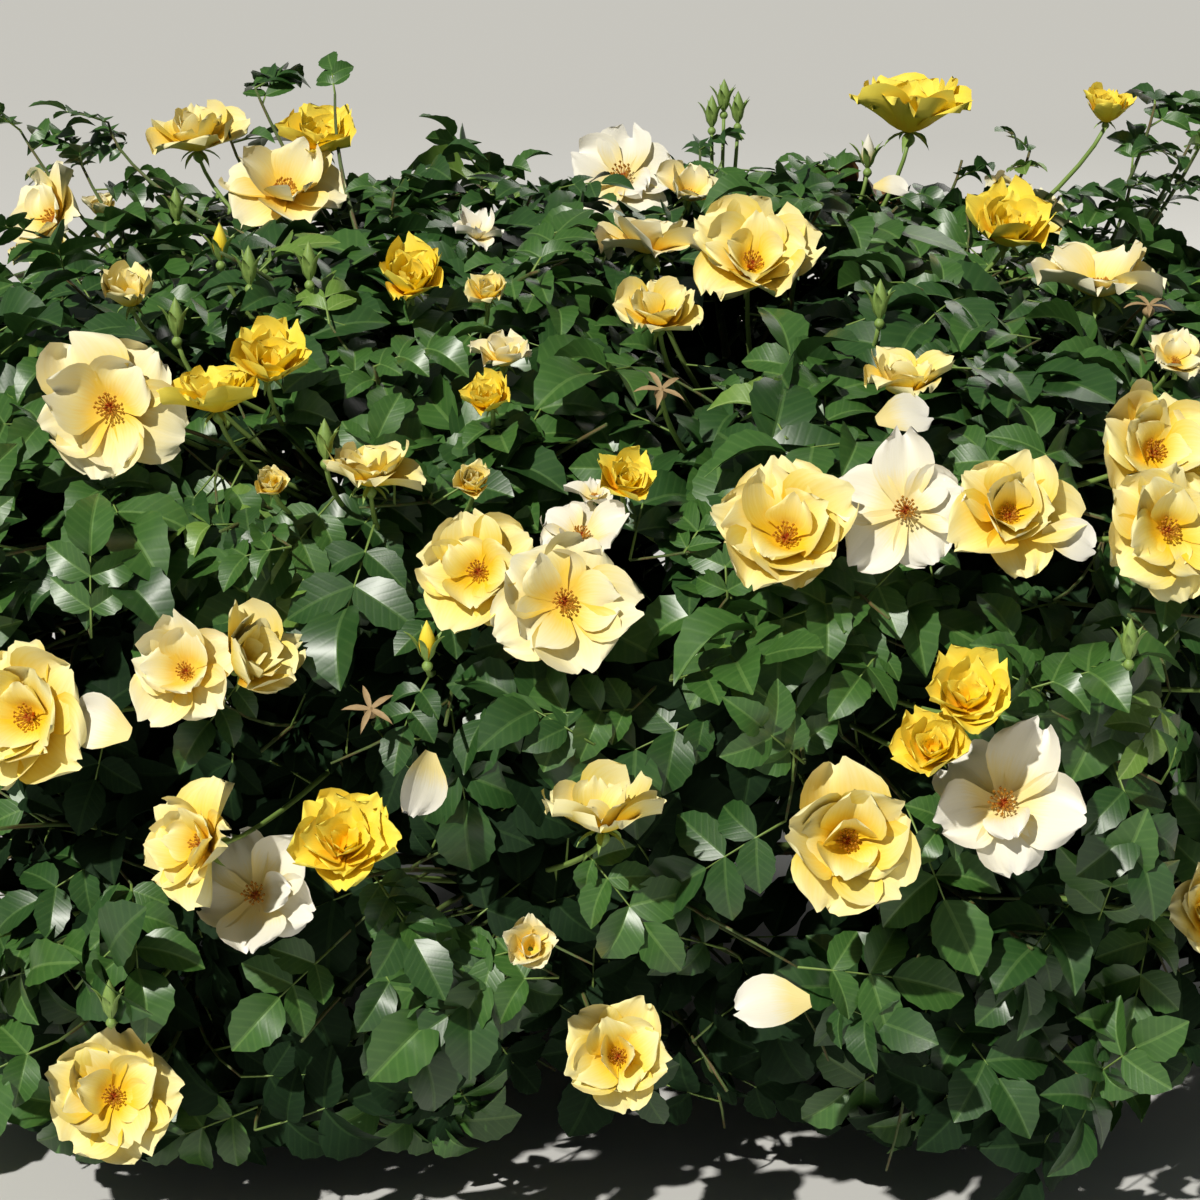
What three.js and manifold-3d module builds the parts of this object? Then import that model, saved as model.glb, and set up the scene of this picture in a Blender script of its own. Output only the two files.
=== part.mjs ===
// A yellow rose bush in full bloom: a foot with a flat cut at ground level, canes that rise from it,
// boughs that fork from the canes, and masses of twigs, leaves and blooms that make a low wide crown.
// Millimetres, +Z up. The front of the bush faces -Y, and the origin is the middle of the cut.
import * as THREE from "three";
import { mergeVertices } from "three/addons/utils/BufferGeometryUtils.js";
import Module from "manifold-3d";

// The crown is a lumpy rounded box round the point (0, 0, middle).
const CROWN = {
  halfWidth: 600,
  halfDepth: 500,
  middle: 345,
  rise: 285,
  drop: 400,
  squareness: 2.6,
  lumps: 0.035,
};
const CLEARANCE = 0.3; // between two solids that meet
const LOWEST_LEAF = 28; // no leaf or twig reaches lower than this

// The foot, as radius and height up its side, from the root flare to the worn top.
const FOOT_PROFILE = [
  [0, 0],
  [46, 0],
  [39, 9],
  [34, 26],
  [32, 56],
  [23, 74],
  [0, 81],
];
const FOOT_SIDES = 12;

// Limbs: radii at the thick and the thin end.
const CANE = { thick: 9, thin: 5, startLow: 24, startHigh: 38 };
const CANE_BENDS = [
  { out: 0.11, aboveStart: 46 },
  { out: 0.19, z: 205 },
];
const LEADER_BEND = { x: 10, y: -12, z: 230 };
const LEADER_TIP = { x: -6, y: 4 };
const LEADER_SUNK = 25; // the leader starts this far below the foot's top
const LOW_BOUGH = { thick: 6, thin: 4, fork: 0.42, bendOut: 0.23, bendZ: 160 };
const TOP_BOUGH = { thick: 5, thin: 4, fork: 0.7, bendOut: 0.25, bendZ: 335 };
const LIMB_SIDES = 5;
const LIMB_STEPS = 4;

// Rings of masses round the axis: out is a share of the crown's half width and half depth.
const LOW_RING = { count: 8, turn: 0, out: 0.61, z: 195, tipOut: 0.36, tipZ: 180 };
const MID_RING = { count: 8, turn: 22.5, out: 0.57, z: 410, tipOut: 0.335, tipZ: 325 };
const TOP_RING = { count: 4, turn: 45, out: 0.37, z: 540, tipOut: 0.27, tipZ: 425 };
const CENTRE_MASS = { z: 555, tipZ: 400 };
const RING_SWAY = { turn: 6, out: 0.05, z: 18 };
const MASS_STEM = { length: 125, thin: 3.4, sides: LIMB_SIDES, steps: 1 };
const CELL_MARGIN = 2.5; // a mass stays this far inside the plane halfway to its neighbour

// Leafy shoots. One leaf solid stands for a whole leaf of five or seven leaflets.
const SHOOT = { count: 122, inset: 60, thick: 2.8, thin: 2.2, lowestLift: -0.86 };
const LEAF = { length: 150, width: 102, thick: 4, widest: 0.46, sunk: 0.8, lift: 0.35, outermost: 1.05 };
const LEAF_PLACES = [0.97, 0.82, 0.67];
const LEAF_PITCH = [40, 22, 6];
const LEAF_TURNS = 8;
const LEAF_TRIES = [
  { shrink: 1, droop: 0 },
  { shrink: 1, droop: 18 },
  { shrink: 0.85, droop: 8 },
  { shrink: 0.72, droop: 24 },
];
const GOLDEN_ANGLE = 137.508;
const RING_SEED = 11;
const LEAF_SEED = 23;

// Bloom stalks.
const STALK = { thick: 2.8, thin: 2, aside: 0.25, hip: 0.62 };
const BRANCH_ANGLES = [52, 66, 40, 80, 28, 100, 18];
const STALK_LEAVES = [0.74];

// The place that the bush is seen from, and the picture plane there. A bloom's place in the picture
// is where the line of sight through it meets the crown.
const EYE = new THREE.Vector3(0, -2390, 969);
const EYE_DROOP = 15;
const PICTURE = { size: 1200, focal: 3333 };
const BLOOM_SHARE = 1.02; // blooms sit this far out, as a share of the crown

// Blooms seen on the front. px and py are their place in the picture, across is in millimetres.
// tilt and turn say how far a bloom faces up and aside from the eye, and cup how closed it is.
const bloom = (px, py, across, tilt, turn, cup) => ({ px, py, across, tilt, turn, cup });
const FRONT_BLOOMS = [
  bloom(195, 128, 72, 62, -20, 0.6),
  bloom(285, 178, 96, 42, 10, 0.3),
  bloom(322, 132, 56, 50, 10, 0.9),
  bloom(42, 214, 78, 15, -48, 0.3),
  bloom(412, 275, 46, 35, 5, 1),
  bloom(130, 288, 44, 50, 0, 0.8),
  bloom(270, 358, 50, 40, 15, 0.9),
  bloom(215, 388, 56, 65, -25, 0.7),
  bloom(105, 405, 96, 5, -8, 0.15),
  bloom(370, 465, 58, 68, 0, 0.5),
  bloom(565, 600, 86, 4, 6, 0.15),
  bloom(475, 568, 74, 12, -10, 0.3),
  bloom(582, 528, 62, 40, 10, 0.2),
  bloom(620, 168, 96, 30, -15, 0.2),
  bloom(650, 232, 78, 76, 0, 0.3),
  bloom(692, 186, 46, 45, 25, 0.6),
  bloom(755, 250, 82, 34, 10, 0.5),
  bloom(910, 102, 80, 66, 0, 0.75),
  bloom(1010, 222, 60, 42, 10, 0.9),
  bloom(1108, 105, 38, 60, 10, 1),
  bloom(1100, 270, 88, 68, 5, 0.4),
  bloom(660, 308, 54, 50, 0, 0.6),
  bloom(905, 375, 54, 66, 0, 0.6),
  bloom(628, 478, 34, 35, 20, 1),
  bloom(785, 528, 88, 24, -6, 0.4),
  bloom(905, 508, 84, 6, -6, 0.12),
  bloom(1013, 508, 68, 18, 6, 0.6),
  bloom(1172, 528, 82, 8, 10, 0.2),
  bloom(1160, 445, 78, 20, 12, 0.4),
  bloom(18, 715, 92, 6, -25, 0.3),
  bloom(255, 655, 60, 20, 48, 0.8),
  bloom(180, 668, 64, 12, -12, 0.5),
  bloom(103, 724, 46, 20, -30, 0.1),
  bloom(422, 782, 44, 10, 50, 0.3),
  bloom(190, 845, 64, 10, -68, 0.5),
  bloom(252, 892, 86, -8, 32, 0.25),
  bloom(345, 838, 56, 10, 4, 0.9),
  bloom(112, 1095, 80, 14, 4, 0.3),
  bloom(603, 805, 70, 72, 10, 0.5),
  bloom(617, 1055, 68, 14, -4, 0.4),
  bloom(1000, 797, 98, 2, 6, 0.12),
  bloom(970, 695, 48, 20, 4, 1),
  bloom(935, 748, 44, 14, -8, 1),
  bloom(850, 840, 82, 5, 4, 0.5),
  bloom(1215, 912, 60, 10, 20, 0.6),
];
// Closed buds seen above the leaves.
const FRONT_BUDS = [
  [220, 243],
  [712, 112],
  [724, 96],
  [738, 108],
  [868, 152],
  [427, 642],
];
const BUD = { length: 30, width: 15, tilt: 72, hip: 0.3 };

// Blooms on the sides, the back and the top, which the front view doesn't show.
const OTHER_BLOOMS = { count: 36, across: 58, spread: 34, apart: 135, seed: 7, lowestLift: -0.55 };
const PETAL_WAVE = 0.13;
const BLOOM_SIDES = 10;
const BELLIED = { cup: 0.35, across: 52 }; // a flatter or smaller bloom has no belly under its petals

const wasm = await Module();
wasm.setup();

const rad = THREE.MathUtils.degToRad;
const vec = (x, y, z) => new THREE.Vector3(x, y, z);
const MIDDLE = vec(0, 0, CROWN.middle);
const UP = vec(0, 0, 1);

// A repeatable stream of numbers from 0 to 1.
function randomFrom(seed) {
  let state = seed;
  return () => {
    state = (state * 16807) % 2147483647;
    return state / 2147483647;
  };
}

// How far out a point lies, as a share of the crown: 1 is its surface.
function crownShare(point) {
  const { x, y, z } = point.clone().sub(MIDDLE);
  const height = z > 0 ? CROWN.rise : CROWN.drop;
  const power = CROWN.squareness;
  const sum =
    Math.abs(x / CROWN.halfWidth) ** power +
    Math.abs(y / CROWN.halfDepth) ** power +
    Math.abs(z / height) ** power;
  const turn = Math.atan2(y, x);
  const lift = z / (Math.hypot(x, y, z) + 1e-9);
  const wave = Math.sin(5 * turn + 1) + Math.sin(3 * turn - 6 * lift);
  return sum ** (1 / power) / (1 + CROWN.lumps * wave * (1 - lift * lift));
}

function outwardNormal(point) {
  const step = 1;
  const slope = (axis) =>
    crownShare(point.clone().addScaledVector(axis, step)) -
    crownShare(point.clone().addScaledVector(axis, -step));
  return vec(slope(vec(1, 0, 0)), slope(vec(0, 1, 0)), slope(UP)).normalize();
}

// Even directions from the crown's middle, carried out to a share of the crown.
function spiralPoints(count, share, lowestLift) {
  const points = [];
  for (let i = 0; i < count; i++) {
    const lift = 1 - (2 * i + 1) / count;
    if (lift < lowestLift) break;
    const turn = rad(i * GOLDEN_ANGLE);
    const flat = Math.sqrt(1 - lift * lift);
    const direction = vec(
      CROWN.halfWidth * flat * Math.cos(turn),
      CROWN.halfDepth * flat * Math.sin(turn),
      (lift > 0 ? CROWN.rise : CROWN.drop) * lift,
    );
    const reach = share / crownShare(direction.clone().add(MIDDLE));
    points.push(direction.multiplyScalar(reach).add(MIDDLE));
  }
  return points;
}

// Solids from three.js geometry. Corners are merged before a shape is bent, so they stay shared.
function mergedGeometry(geometry) {
  geometry.deleteAttribute("normal");
  geometry.deleteAttribute("uv");
  return mergeVertices(geometry);
}

function solidFrom(geometry, place) {
  const at = geometry.getAttribute("position");
  const vertProperties = new Float32Array(at.count * 3);
  const point = vec(0, 0, 0);
  for (let i = 0; i < at.count; i++) {
    place(point.fromBufferAttribute(at, i)).toArray(vertProperties, i * 3);
  }
  const corners = geometry.index.array;
  const kept = [];
  for (let i = 0; i < corners.length; i += 3) {
    const [a, b, c] = [corners[i], corners[i + 1], corners[i + 2]];
    if (a !== b && b !== c && c !== a) kept.push(a, b, c);
  }
  return new wasm.Manifold(
    new wasm.Mesh({ numProp: 3, vertProperties, triVerts: new Uint32Array(kept) }),
  );
}

// Sideways directions for a curve, which turn with it and never twist.
function sidewaysOf(curve) {
  const chord = curve.getPoint(1).sub(curve.getPoint(0)).normalize();
  const other = Math.abs(chord.z) < 0.9 ? UP : vec(1, 0, 0);
  return chord.cross(other).normalize();
}

// A limb or twig: a cylinder bent along a curve, thick at its start and thin at its end.
function limbSolid(limb, grow = 0) {
  const { curve, thick, thin, sides, steps } = limb;
  const tube = mergedGeometry(new THREE.CylinderGeometry(1, 1, 1, sides, steps));
  const sideways = sidewaysOf(curve);
  return solidFrom(tube, (point) => {
    const share = point.y + 0.5;
    const along = curve.getTangent(share);
    const across = along.clone().cross(sideways).normalize();
    const lie = across.clone().cross(along);
    const radius = thick + (thin - thick) * share + grow;
    return curve
      .getPoint(share)
      .addScaledVector(across, point.x * radius)
      .addScaledVector(lie, point.z * radius);
  });
}

function footSolid(grow = 0) {
  const top = FOOT_PROFILE.at(-1)[1];
  const profile = FOOT_PROFILE.map(
    ([radius, z]) => new THREE.Vector2(radius ? radius + grow : 0, z === top ? z + grow : z),
  );
  const turned = mergedGeometry(new THREE.LatheGeometry(profile, FOOT_SIDES));
  return solidFrom(turned, (point) => vec(point.z, point.x, point.y));
}

const leafShape = mergedGeometry(new THREE.OctahedronGeometry(1));

function leafSolid(leaf) {
  return solidFrom(leafShape, ({ x, y, z }) => {
    const along = x < 0 ? (x + 1) * LEAF.widest : LEAF.widest + x * (1 - LEAF.widest);
    return leaf.root
      .clone()
      .addScaledVector(leaf.along, along * leaf.length - LEAF.sunk)
      .addScaledVector(leaf.across, (y * leaf.width) / 2)
      .addScaledVector(leaf.normal, (z * LEAF.thick) / 2);
  });
}

// A bloom: an open dish with five petals in its rim, its hollow side facing out.
function bloomSolid({ centre, facing, across, cup }) {
  const radius = across / 2;
  const depth = bloomDepth(across, cup);
  const bellied = cup > BELLIED.cup && across > BELLIED.across;
  const belly = bellied ? [new THREE.Vector2(0.45 + 0.25 * cup, -0.62 * depth)] : [];
  const profile = [
    new THREE.Vector2(0, -depth),
    ...belly,
    new THREE.Vector2(1, 0.12 * depth),
    new THREE.Vector2(0, -0.42 * depth),
  ];
  const dish = mergedGeometry(new THREE.LatheGeometry(profile, BLOOM_SIDES));
  const right = facing.clone().cross(UP).normalize();
  const top = facing.clone().cross(right);
  return solidFrom(dish, (point) => {
    const wave = 1 + PETAL_WAVE * Math.cos(5 * Math.atan2(point.x, point.z));
    return centre
      .clone()
      .addScaledVector(facing, point.y)
      .addScaledVector(right, point.z * radius * wave)
      .addScaledVector(top, point.x * radius * wave);
  });
}

function bloomDepth(across, cup) {
  return across * (0.16 + 0.3 * cup);
}

function budSolid({ centre, facing }) {
  const right = facing.clone().cross(vec(1, 0, 0)).normalize();
  const top = facing.clone().cross(right);
  return solidFrom(leafShape, ({ x, y, z }) =>
    centre
      .clone()
      .addScaledVector(facing, (x * BUD.length) / 2)
      .addScaledVector(right, (y * BUD.width) / 2)
      .addScaledVector(top, (z * BUD.width) / 2),
  );
}

function meshFrom(name, solid, material) {
  const { vertProperties, triVerts } = solid.getMesh();
  const geometry = new THREE.BufferGeometry()
    .setAttribute("position", new THREE.BufferAttribute(vertProperties, 3))
    .setIndex(new THREE.BufferAttribute(triVerts, 1));
  geometry.computeVertexNormals();
  const mesh = new THREE.Mesh(geometry, new THREE.MeshStandardMaterial(material));
  mesh.name = name;
  return mesh;
}

// The layout of the limbs and masses.
function ringPlace(turn, out, z) {
  const angle = rad(turn);
  return vec(
    CROWN.halfWidth * out * Math.cos(angle),
    CROWN.halfDepth * out * Math.sin(angle),
    z,
  );
}

function swayedRing(ring, random) {
  const sway = (range) => (2 * random() - 1) * range;
  return Array.from({ length: ring.count }, (_, i) => {
    const turn = ring.turn + (360 / ring.count) * i + sway(RING_SWAY.turn);
    const out = sway(RING_SWAY.out);
    const z = sway(RING_SWAY.z);
    return {
      turn,
      centre: ringPlace(turn, ring.out + out, ring.z + z),
      tip: ringPlace(turn, ring.tipOut + out / 2, ring.tipZ + z / 2),
    };
  });
}

const swayRandom = randomFrom(RING_SEED);
const lowRing = swayedRing(LOW_RING, swayRandom);
const midRing = swayedRing(MID_RING, swayRandom);
const topRing = swayedRing(TOP_RING, swayRandom);

function caneLimb({ turn, tip }, i) {
  const start = i % 2 ? CANE.startHigh : CANE.startLow;
  const curve = new THREE.CubicBezierCurve3(
    vec(0, 0, start),
    ringPlace(turn, CANE_BENDS[0].out, start + CANE_BENDS[0].aboveStart),
    ringPlace(turn, CANE_BENDS[1].out, CANE_BENDS[1].z),
    tip,
  );
  return { name: `cane_${i + 1}`, curve, ...CANE };
}

// A bough that forks from a cane, bends once and ends at the tip of its ring place.
function forkedLimb(name, sizes, cane, { turn, tip }) {
  const start = cane.curve.getPoint(sizes.fork);
  const canePlace = Math.atan2(start.y / CROWN.halfDepth, start.x / CROWN.halfWidth);
  const caneTurn = THREE.MathUtils.radToDeg(canePlace);
  const swing = ((turn - caneTurn + 540) % 360) - 180;
  const bend = ringPlace(caneTurn + swing / 2, sizes.bendOut, sizes.bendZ);
  return { name, curve: new THREE.QuadraticBezierCurve3(start, bend, tip), parent: cane, ...sizes };
}

const canes = midRing.map(caneLimb);
const lowBoughs = lowRing.map((place, i) =>
  forkedLimb(`low_bough_${i + 1}`, LOW_BOUGH, canes[i], place),
);
const topBoughs = topRing.map((place, i) =>
  forkedLimb(`top_bough_${i + 1}`, TOP_BOUGH, canes[2 * i], place),
);
const leader = {
  name: "leader",
  curve: new THREE.QuadraticBezierCurve3(
    vec(0, 0, FOOT_PROFILE.at(-1)[1] - LEADER_SUNK),
    vec(LEADER_BEND.x, LEADER_BEND.y, LEADER_BEND.z),
    vec(LEADER_TIP.x, LEADER_TIP.y, CENTRE_MASS.tipZ),
  ),
  ...CANE,
};
const limbs = [...canes, leader, ...lowBoughs, ...topBoughs].map((limb) => ({
  ...limb,
  sides: LIMB_SIDES,
  steps: LIMB_STEPS,
}));

// Each mass grows from a stem that carries on from its bough's tip, just clear of it.
function massOf(name, limb, centre) {
  const along = limb.curve.getTangent(1);
  const start = limb.curve.getPoint(1).addScaledVector(along, CLEARANCE);
  const end = start.clone().addScaledVector(along, MASS_STEM.length);
  const stem = { curve: new THREE.LineCurve3(start, end), thick: limb.thin, ...MASS_STEM };
  return { name, centre, stem, pieces: [limbSolid(stem)], leaves: [], twigs: [] };
}

const masses = [
  ...lowRing.map(({ centre }, i) => massOf(`low_mass_${i + 1}`, lowBoughs[i], centre)),
  ...midRing.map(({ centre }, i) => massOf(`mid_mass_${i + 1}`, canes[i], centre)),
  ...topRing.map(({ centre }, i) => massOf(`top_mass_${i + 1}`, topBoughs[i], centre)),
  massOf("centre_mass", leader, vec(0, 0, CENTRE_MASS.z)),
];

const nearestMass = (point) =>
  masses.reduce((best, mass) =>
    mass.centre.distanceTo(point) < best.centre.distanceTo(point) ? mass : best,
  );

// True where a point lies well inside the mass's own space: nearer its centre than any other.
function inCell(mass, point) {
  return masses.every((other) => {
    if (other === mass) return true;
    const across = other.centre.clone().sub(mass.centre);
    const halfway = mass.centre.clone().add(other.centre).multiplyScalar(0.5);
    return point.clone().sub(halfway).dot(across.normalize()) < -CELL_MARGIN;
  });
}

// Things that twigs and leaves keep clear of: limbs, stems, stalks and blooms.
const rods = [];
const blooms = [];

function addRod({ curve, thick, thin }, owner) {
  const points = curve.getPoints(8);
  rods.push({ points, radius: Math.max(thick, thin), owner });
}

limbs.forEach((limb) => addRod(limb, null));
masses.forEach((mass) => addRod(mass.stem, mass));

const span = new THREE.Line3();
const nearest = vec(0, 0, 0);

function distanceToRod(rod, point) {
  let least = Infinity;
  for (let i = 1; i < rod.points.length; i++) {
    span.set(rod.points[i - 1], rod.points[i]);
    span.closestPointToPoint(point, true, nearest);
    least = Math.min(least, nearest.distanceTo(point));
  }
  return least;
}

const clearOfRods = (owner, point, margin) =>
  rods.every((rod) => rod.owner === owner || distanceToRod(rod, point) > rod.radius + margin);

// The drum of space that a bloom needs, from its hip to a little way in front of its face.
function clearOfBlooms(point, margin, front) {
  return blooms.every((other) => {
    const offset = point.clone().sub(other.centre);
    const height = offset.dot(other.facing);
    const out = Math.sqrt(Math.max(0, offset.lengthSq() - height * height));
    const behind = -bloomDepth(other.across, other.cup) - margin;
    const ahead = other.across * (0.1 + front) + margin;
    return height < behind || height > ahead || out > other.across * 0.57 + margin;
  });
}

// Tests a twig along its length.
function runsClear(mass, curve, keepToCell) {
  return curve
    .getPoints(14)
    .slice(2)
    .every(
      (point) =>
        point.z > LOWEST_LEAF &&
        (!keepToCell || inCell(mass, point)) &&
        clearOfRods(mass, point, 4) &&
        clearOfBlooms(point, 4, 0),
    );
}

// Where a twig that ends at a target leaves its mass's stem, for a given angle between the two.
function stemStart({ stem }, target, angle) {
  const foot = stem.curve.getPoint(0);
  const along = stem.curve.getTangent(0);
  const offset = target.clone().sub(foot);
  const ahead = offset.dot(along);
  const out = Math.sqrt(Math.max(0, offset.lengthSq() - ahead * ahead));
  const place = (ahead - out / Math.tan(rad(angle))) / MASS_STEM.length;
  return stem.curve.getPoint(THREE.MathUtils.clamp(place, 0.1, 0.97));
}

// The first straight twig to a target that runs clear, or nothing.
function clearTwig(mass, target, keepToCell) {
  for (const angle of BRANCH_ANGLES) {
    const curve = new THREE.LineCurve3(stemStart(mass, target, angle), target);
    if (runsClear(mass, curve, keepToCell)) return curve;
  }
  return null;
}

// Stalks and their blooms come first, so that leaves find their places round them.
function addStalked(item, baseBack, makeHead) {
  const right = item.facing.clone().cross(UP).normalize();
  const base = item.centre
    .clone()
    .addScaledVector(item.facing, -baseBack)
    .addScaledVector(right, (STALK.aside * item.across) / 2);
  const mass = nearestMass(item.centre);
  const curve = clearTwig(mass, base, false);
  if (!curve) return;
  const stalk = { curve, thick: STALK.thick, thin: STALK.thin, sides: 3, steps: 1 };
  mass.pieces.push(limbSolid(stalk), makeHead(item));
  mass.twigs.push(curve);
  addRod(stalk, mass);
  blooms.push(item);
  shoots.push({ mass, curve, places: STALK_LEAVES });
}

// The line of sight through a place in the picture.
function sightLine(px, py) {
  const droop = rad(EYE_DROOP);
  const half = PICTURE.size / 2;
  return vec(0, Math.cos(droop), -Math.sin(droop))
    .addScaledVector(vec(1, 0, 0), (px - half) / PICTURE.focal)
    .addScaledVector(vec(0, Math.sin(droop), Math.cos(droop)), (half - py) / PICTURE.focal);
}

// Where a line of sight comes within a share of the crown, or else where it passes nearest.
function placeInView(px, py, share) {
  const sight = sightLine(px, py);
  let best = null;
  let least = Infinity;
  for (let reach = 1500; reach < 3100; reach += 4) {
    const point = EYE.clone().addScaledVector(sight, reach);
    const found = crownShare(point);
    if (found < least) {
      least = found;
      best = point;
    }
    if (found < share) break;
  }
  return best;
}

function facingOf(tilt, turn) {
  const up = rad(tilt + EYE_DROOP);
  const aside = rad(turn);
  return vec(Math.sin(aside) * Math.cos(up), -Math.cos(aside) * Math.cos(up), Math.sin(up));
}

// Blooms that would run into an earlier one stand a little further back.
function settledCentre(px, py, across) {
  const centre = placeInView(px, py, BLOOM_SHARE);
  const back = sightLine(px, py).normalize().multiplyScalar(12);
  for (let i = 0; i < 7; i++) {
    const crowded = blooms.some(
      (other) => other.centre.distanceTo(centre) < 0.5 * (other.across + across) + 4,
    );
    if (!crowded) break;
    centre.add(back);
  }
  return centre;
}

const shoots = [];

for (const { px, py, across, tilt, turn, cup } of FRONT_BLOOMS) {
  const centre = settledCentre(px, py, across);
  const item = { centre, facing: facingOf(tilt, turn), across, cup };
  addStalked(item, STALK.hip * bloomDepth(across, cup), bloomSolid);
}
for (const [px, py] of FRONT_BUDS) {
  const centre = settledCentre(px, py, BUD.width);
  const item = { centre, facing: facingOf(BUD.tilt, 0), across: BUD.width, cup: 1 };
  addStalked(item, BUD.hip * BUD.length, budSolid);
}

// A place on the crown that the front view shows is left to the blooms listed above.
function seenInFront(point) {
  const offset = point.clone().sub(EYE);
  const droop = rad(EYE_DROOP);
  const ahead = offset.dot(vec(0, Math.cos(droop), -Math.sin(droop)));
  const aside = (offset.x / ahead) * PICTURE.focal;
  const towards = outwardNormal(point).dot(offset.normalize());
  return towards < 0.08 && Math.abs(aside) < PICTURE.size / 2 + 40;
}

function addOtherBlooms() {
  const random = randomFrom(OTHER_BLOOMS.seed);
  for (const point of spiralPoints(OTHER_BLOOMS.count, BLOOM_SHARE, OTHER_BLOOMS.lowestLift)) {
    const across = OTHER_BLOOMS.across + OTHER_BLOOMS.spread * random();
    const cup = 0.15 + 0.75 * random() ** 2;
    const lean = vec(random() - 0.5, random() - 0.5, random() * 0.9);
    if (seenInFront(point)) continue;
    if (blooms.some((other) => other.centre.distanceTo(point) < OTHER_BLOOMS.apart)) continue;
    const facing = outwardNormal(point).add(lean).normalize();
    const item = { centre: point, facing, across, cup };
    addStalked(item, STALK.hip * bloomDepth(across, cup), bloomSolid);
  }
}
addOtherBlooms();

// Leafy shoots to even places all over the crown.
function addLeafShoots() {
  for (const place of spiralPoints(SHOOT.count, 1, SHOOT.lowestLift)) {
    const target = place.addScaledVector(outwardNormal(place), -SHOOT.inset);
    const mass = nearestMass(target);
    const curve = clearTwig(mass, target, true);
    if (!curve) continue;
    mass.pieces.push(limbSolid({ curve, ...SHOOT, sides: 3, steps: 1 }));
    mass.twigs.push(curve);
    shoots.push({ mass, curve, places: LEAF_PLACES });
  }
}
addLeafShoots();

function leafAt(root, outward, turn, pitch, size) {
  const ease = Math.abs(outward.z) < 0.9 ? UP : vec(0, 1, 0);
  const east = ease.clone().cross(outward).normalize();
  const north = outward.clone().cross(east);
  const along = east
    .multiplyScalar(Math.cos(turn))
    .addScaledVector(north, Math.sin(turn))
    .multiplyScalar(Math.cos(pitch))
    .addScaledVector(outward, Math.sin(pitch));
  const normal = outward.clone().addScaledVector(along, -outward.dot(along)).normalize();
  const across = normal.clone().cross(along);
  return { root, along, normal, across, length: LEAF.length * size, width: LEAF.width * size };
}

// Points all over a leaf's outline, with its tip and its two widest corners.
function leafSamples({ root, along, across, length, width }) {
  const points = [];
  for (const share of [0.12, 0.28, LEAF.widest, 0.64, 0.82, 1]) {
    const half = share < LEAF.widest ? share / LEAF.widest : (1 - share) / (1 - LEAF.widest);
    for (const side of [-1, -0.5, 0, 0.5, 1]) {
      points.push(
        root
          .clone()
          .addScaledVector(along, share * length)
          .addScaledVector(across, (side * half * width) / 2),
      );
    }
  }
  return points;
}

// Height of a point over a leaf's face, and whether it lies within the leaf's outline.
function overLeaf(leaf, point) {
  const offset = point.clone().sub(leaf.root);
  const share = offset.dot(leaf.along) / leaf.length;
  const half = share < LEAF.widest ? share / LEAF.widest : (1 - share) / (1 - LEAF.widest);
  const within = Math.abs(offset.dot(leaf.across)) < (half + 0.08) * (leaf.width / 2);
  return { height: offset.dot(leaf.normal), within };
}

// True where a line of points touches a leaf or goes through it.
function lineMeetsLeaf(points, leaf) {
  const over = points.map((point) => overLeaf(leaf, point));
  return over.some(({ height, within }, i) => {
    if (within && Math.abs(height) < LEAF.thick) return true;
    if (i === 0 || height * over[i - 1].height > 0) return false;
    const share = height / (height - over[i - 1].height);
    return overLeaf(leaf, points[i].clone().lerp(points[i - 1], share)).within;
  });
}

function leafOutline({ root, along, across, length, width }) {
  const side = (sign) =>
    root
      .clone()
      .addScaledVector(along, LEAF.widest * length)
      .addScaledVector(across, (sign * width) / 2);
  const tip = root.clone().addScaledVector(along, length);
  return [root, side(1), tip, side(-1), root, tip];
}

const leavesMeet = (a, b) =>
  lineMeetsLeaf(leafOutline(a), b) || lineMeetsLeaf(leafOutline(b), a) ||
  lineMeetsLeaf(leafSamples(a), b);

function leafFits(mass, leaf, ownTwig) {
  const inSpace = leafSamples(leaf).every(
    (point) =>
      point.z > LOWEST_LEAF &&
      crownShare(point) < LEAF.outermost &&
      inCell(mass, point) &&
      clearOfBlooms(point, 5, 0.35) &&
      clearOfRods(mass, point, 9),
  );
  if (!inSpace) return false;
  if (mass.leaves.some((other) => leavesMeet(leaf, other))) return false;
  return !mass.twigs.some((twig) => twig !== ownTwig && lineMeetsLeaf(twig.getPoints(10), leaf));
}

// A leaf that would leave its mass's space is turned aside, then made smaller, then left out.
function addLeaves({ mass, curve, places }, random) {
  const first = random() * 360;
  places.forEach((place, i) => {
    const root = curve.getPoint(place);
    if (!inCell(mass, root)) return;
    const outward = outwardNormal(root).addScaledVector(UP, LEAF.lift).normalize();
    const pitch = rad(LEAF_PITCH[i] + 10 * (random() - 0.5));
    const size = 0.88 + 0.24 * random();
    for (const { shrink, droop } of LEAF_TRIES) {
      for (let step = 0; step < LEAF_TURNS; step++) {
        const aside = (step % 2 ? 1 : -1) * Math.ceil(step / 2) * (360 / LEAF_TURNS);
        const turn = rad(first + i * GOLDEN_ANGLE + aside);
        const leaf = leafAt(root, outward, turn, pitch - rad(droop), size * shrink);
        if (!leafFits(mass, leaf, curve)) continue;
        mass.pieces.push(leafSolid(leaf));
        mass.leaves.push(leaf);
        return;
      }
    }
  });
}

const leafRandom = randomFrom(LEAF_SEED);
shoots.forEach((shoot) => addLeaves(shoot, leafRandom));

// The largest body of a solid: loose scraps are dropped.
function largest(solid) {
  return solid.decompose().sort((a, b) => b.volume() - a.volume())[0];
}

const joined = (pieces) => largest(pieces.reduce((sum, piece) => sum.add(piece)));

const bark = { color: "#6f5b42", roughness: 0.85, metalness: 0 };
const greenBark = { color: "#5f7a41", roughness: 0.6, metalness: 0 };
const foliage = { color: "#3f6b35", roughness: 0.5, metalness: 0 };

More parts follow.
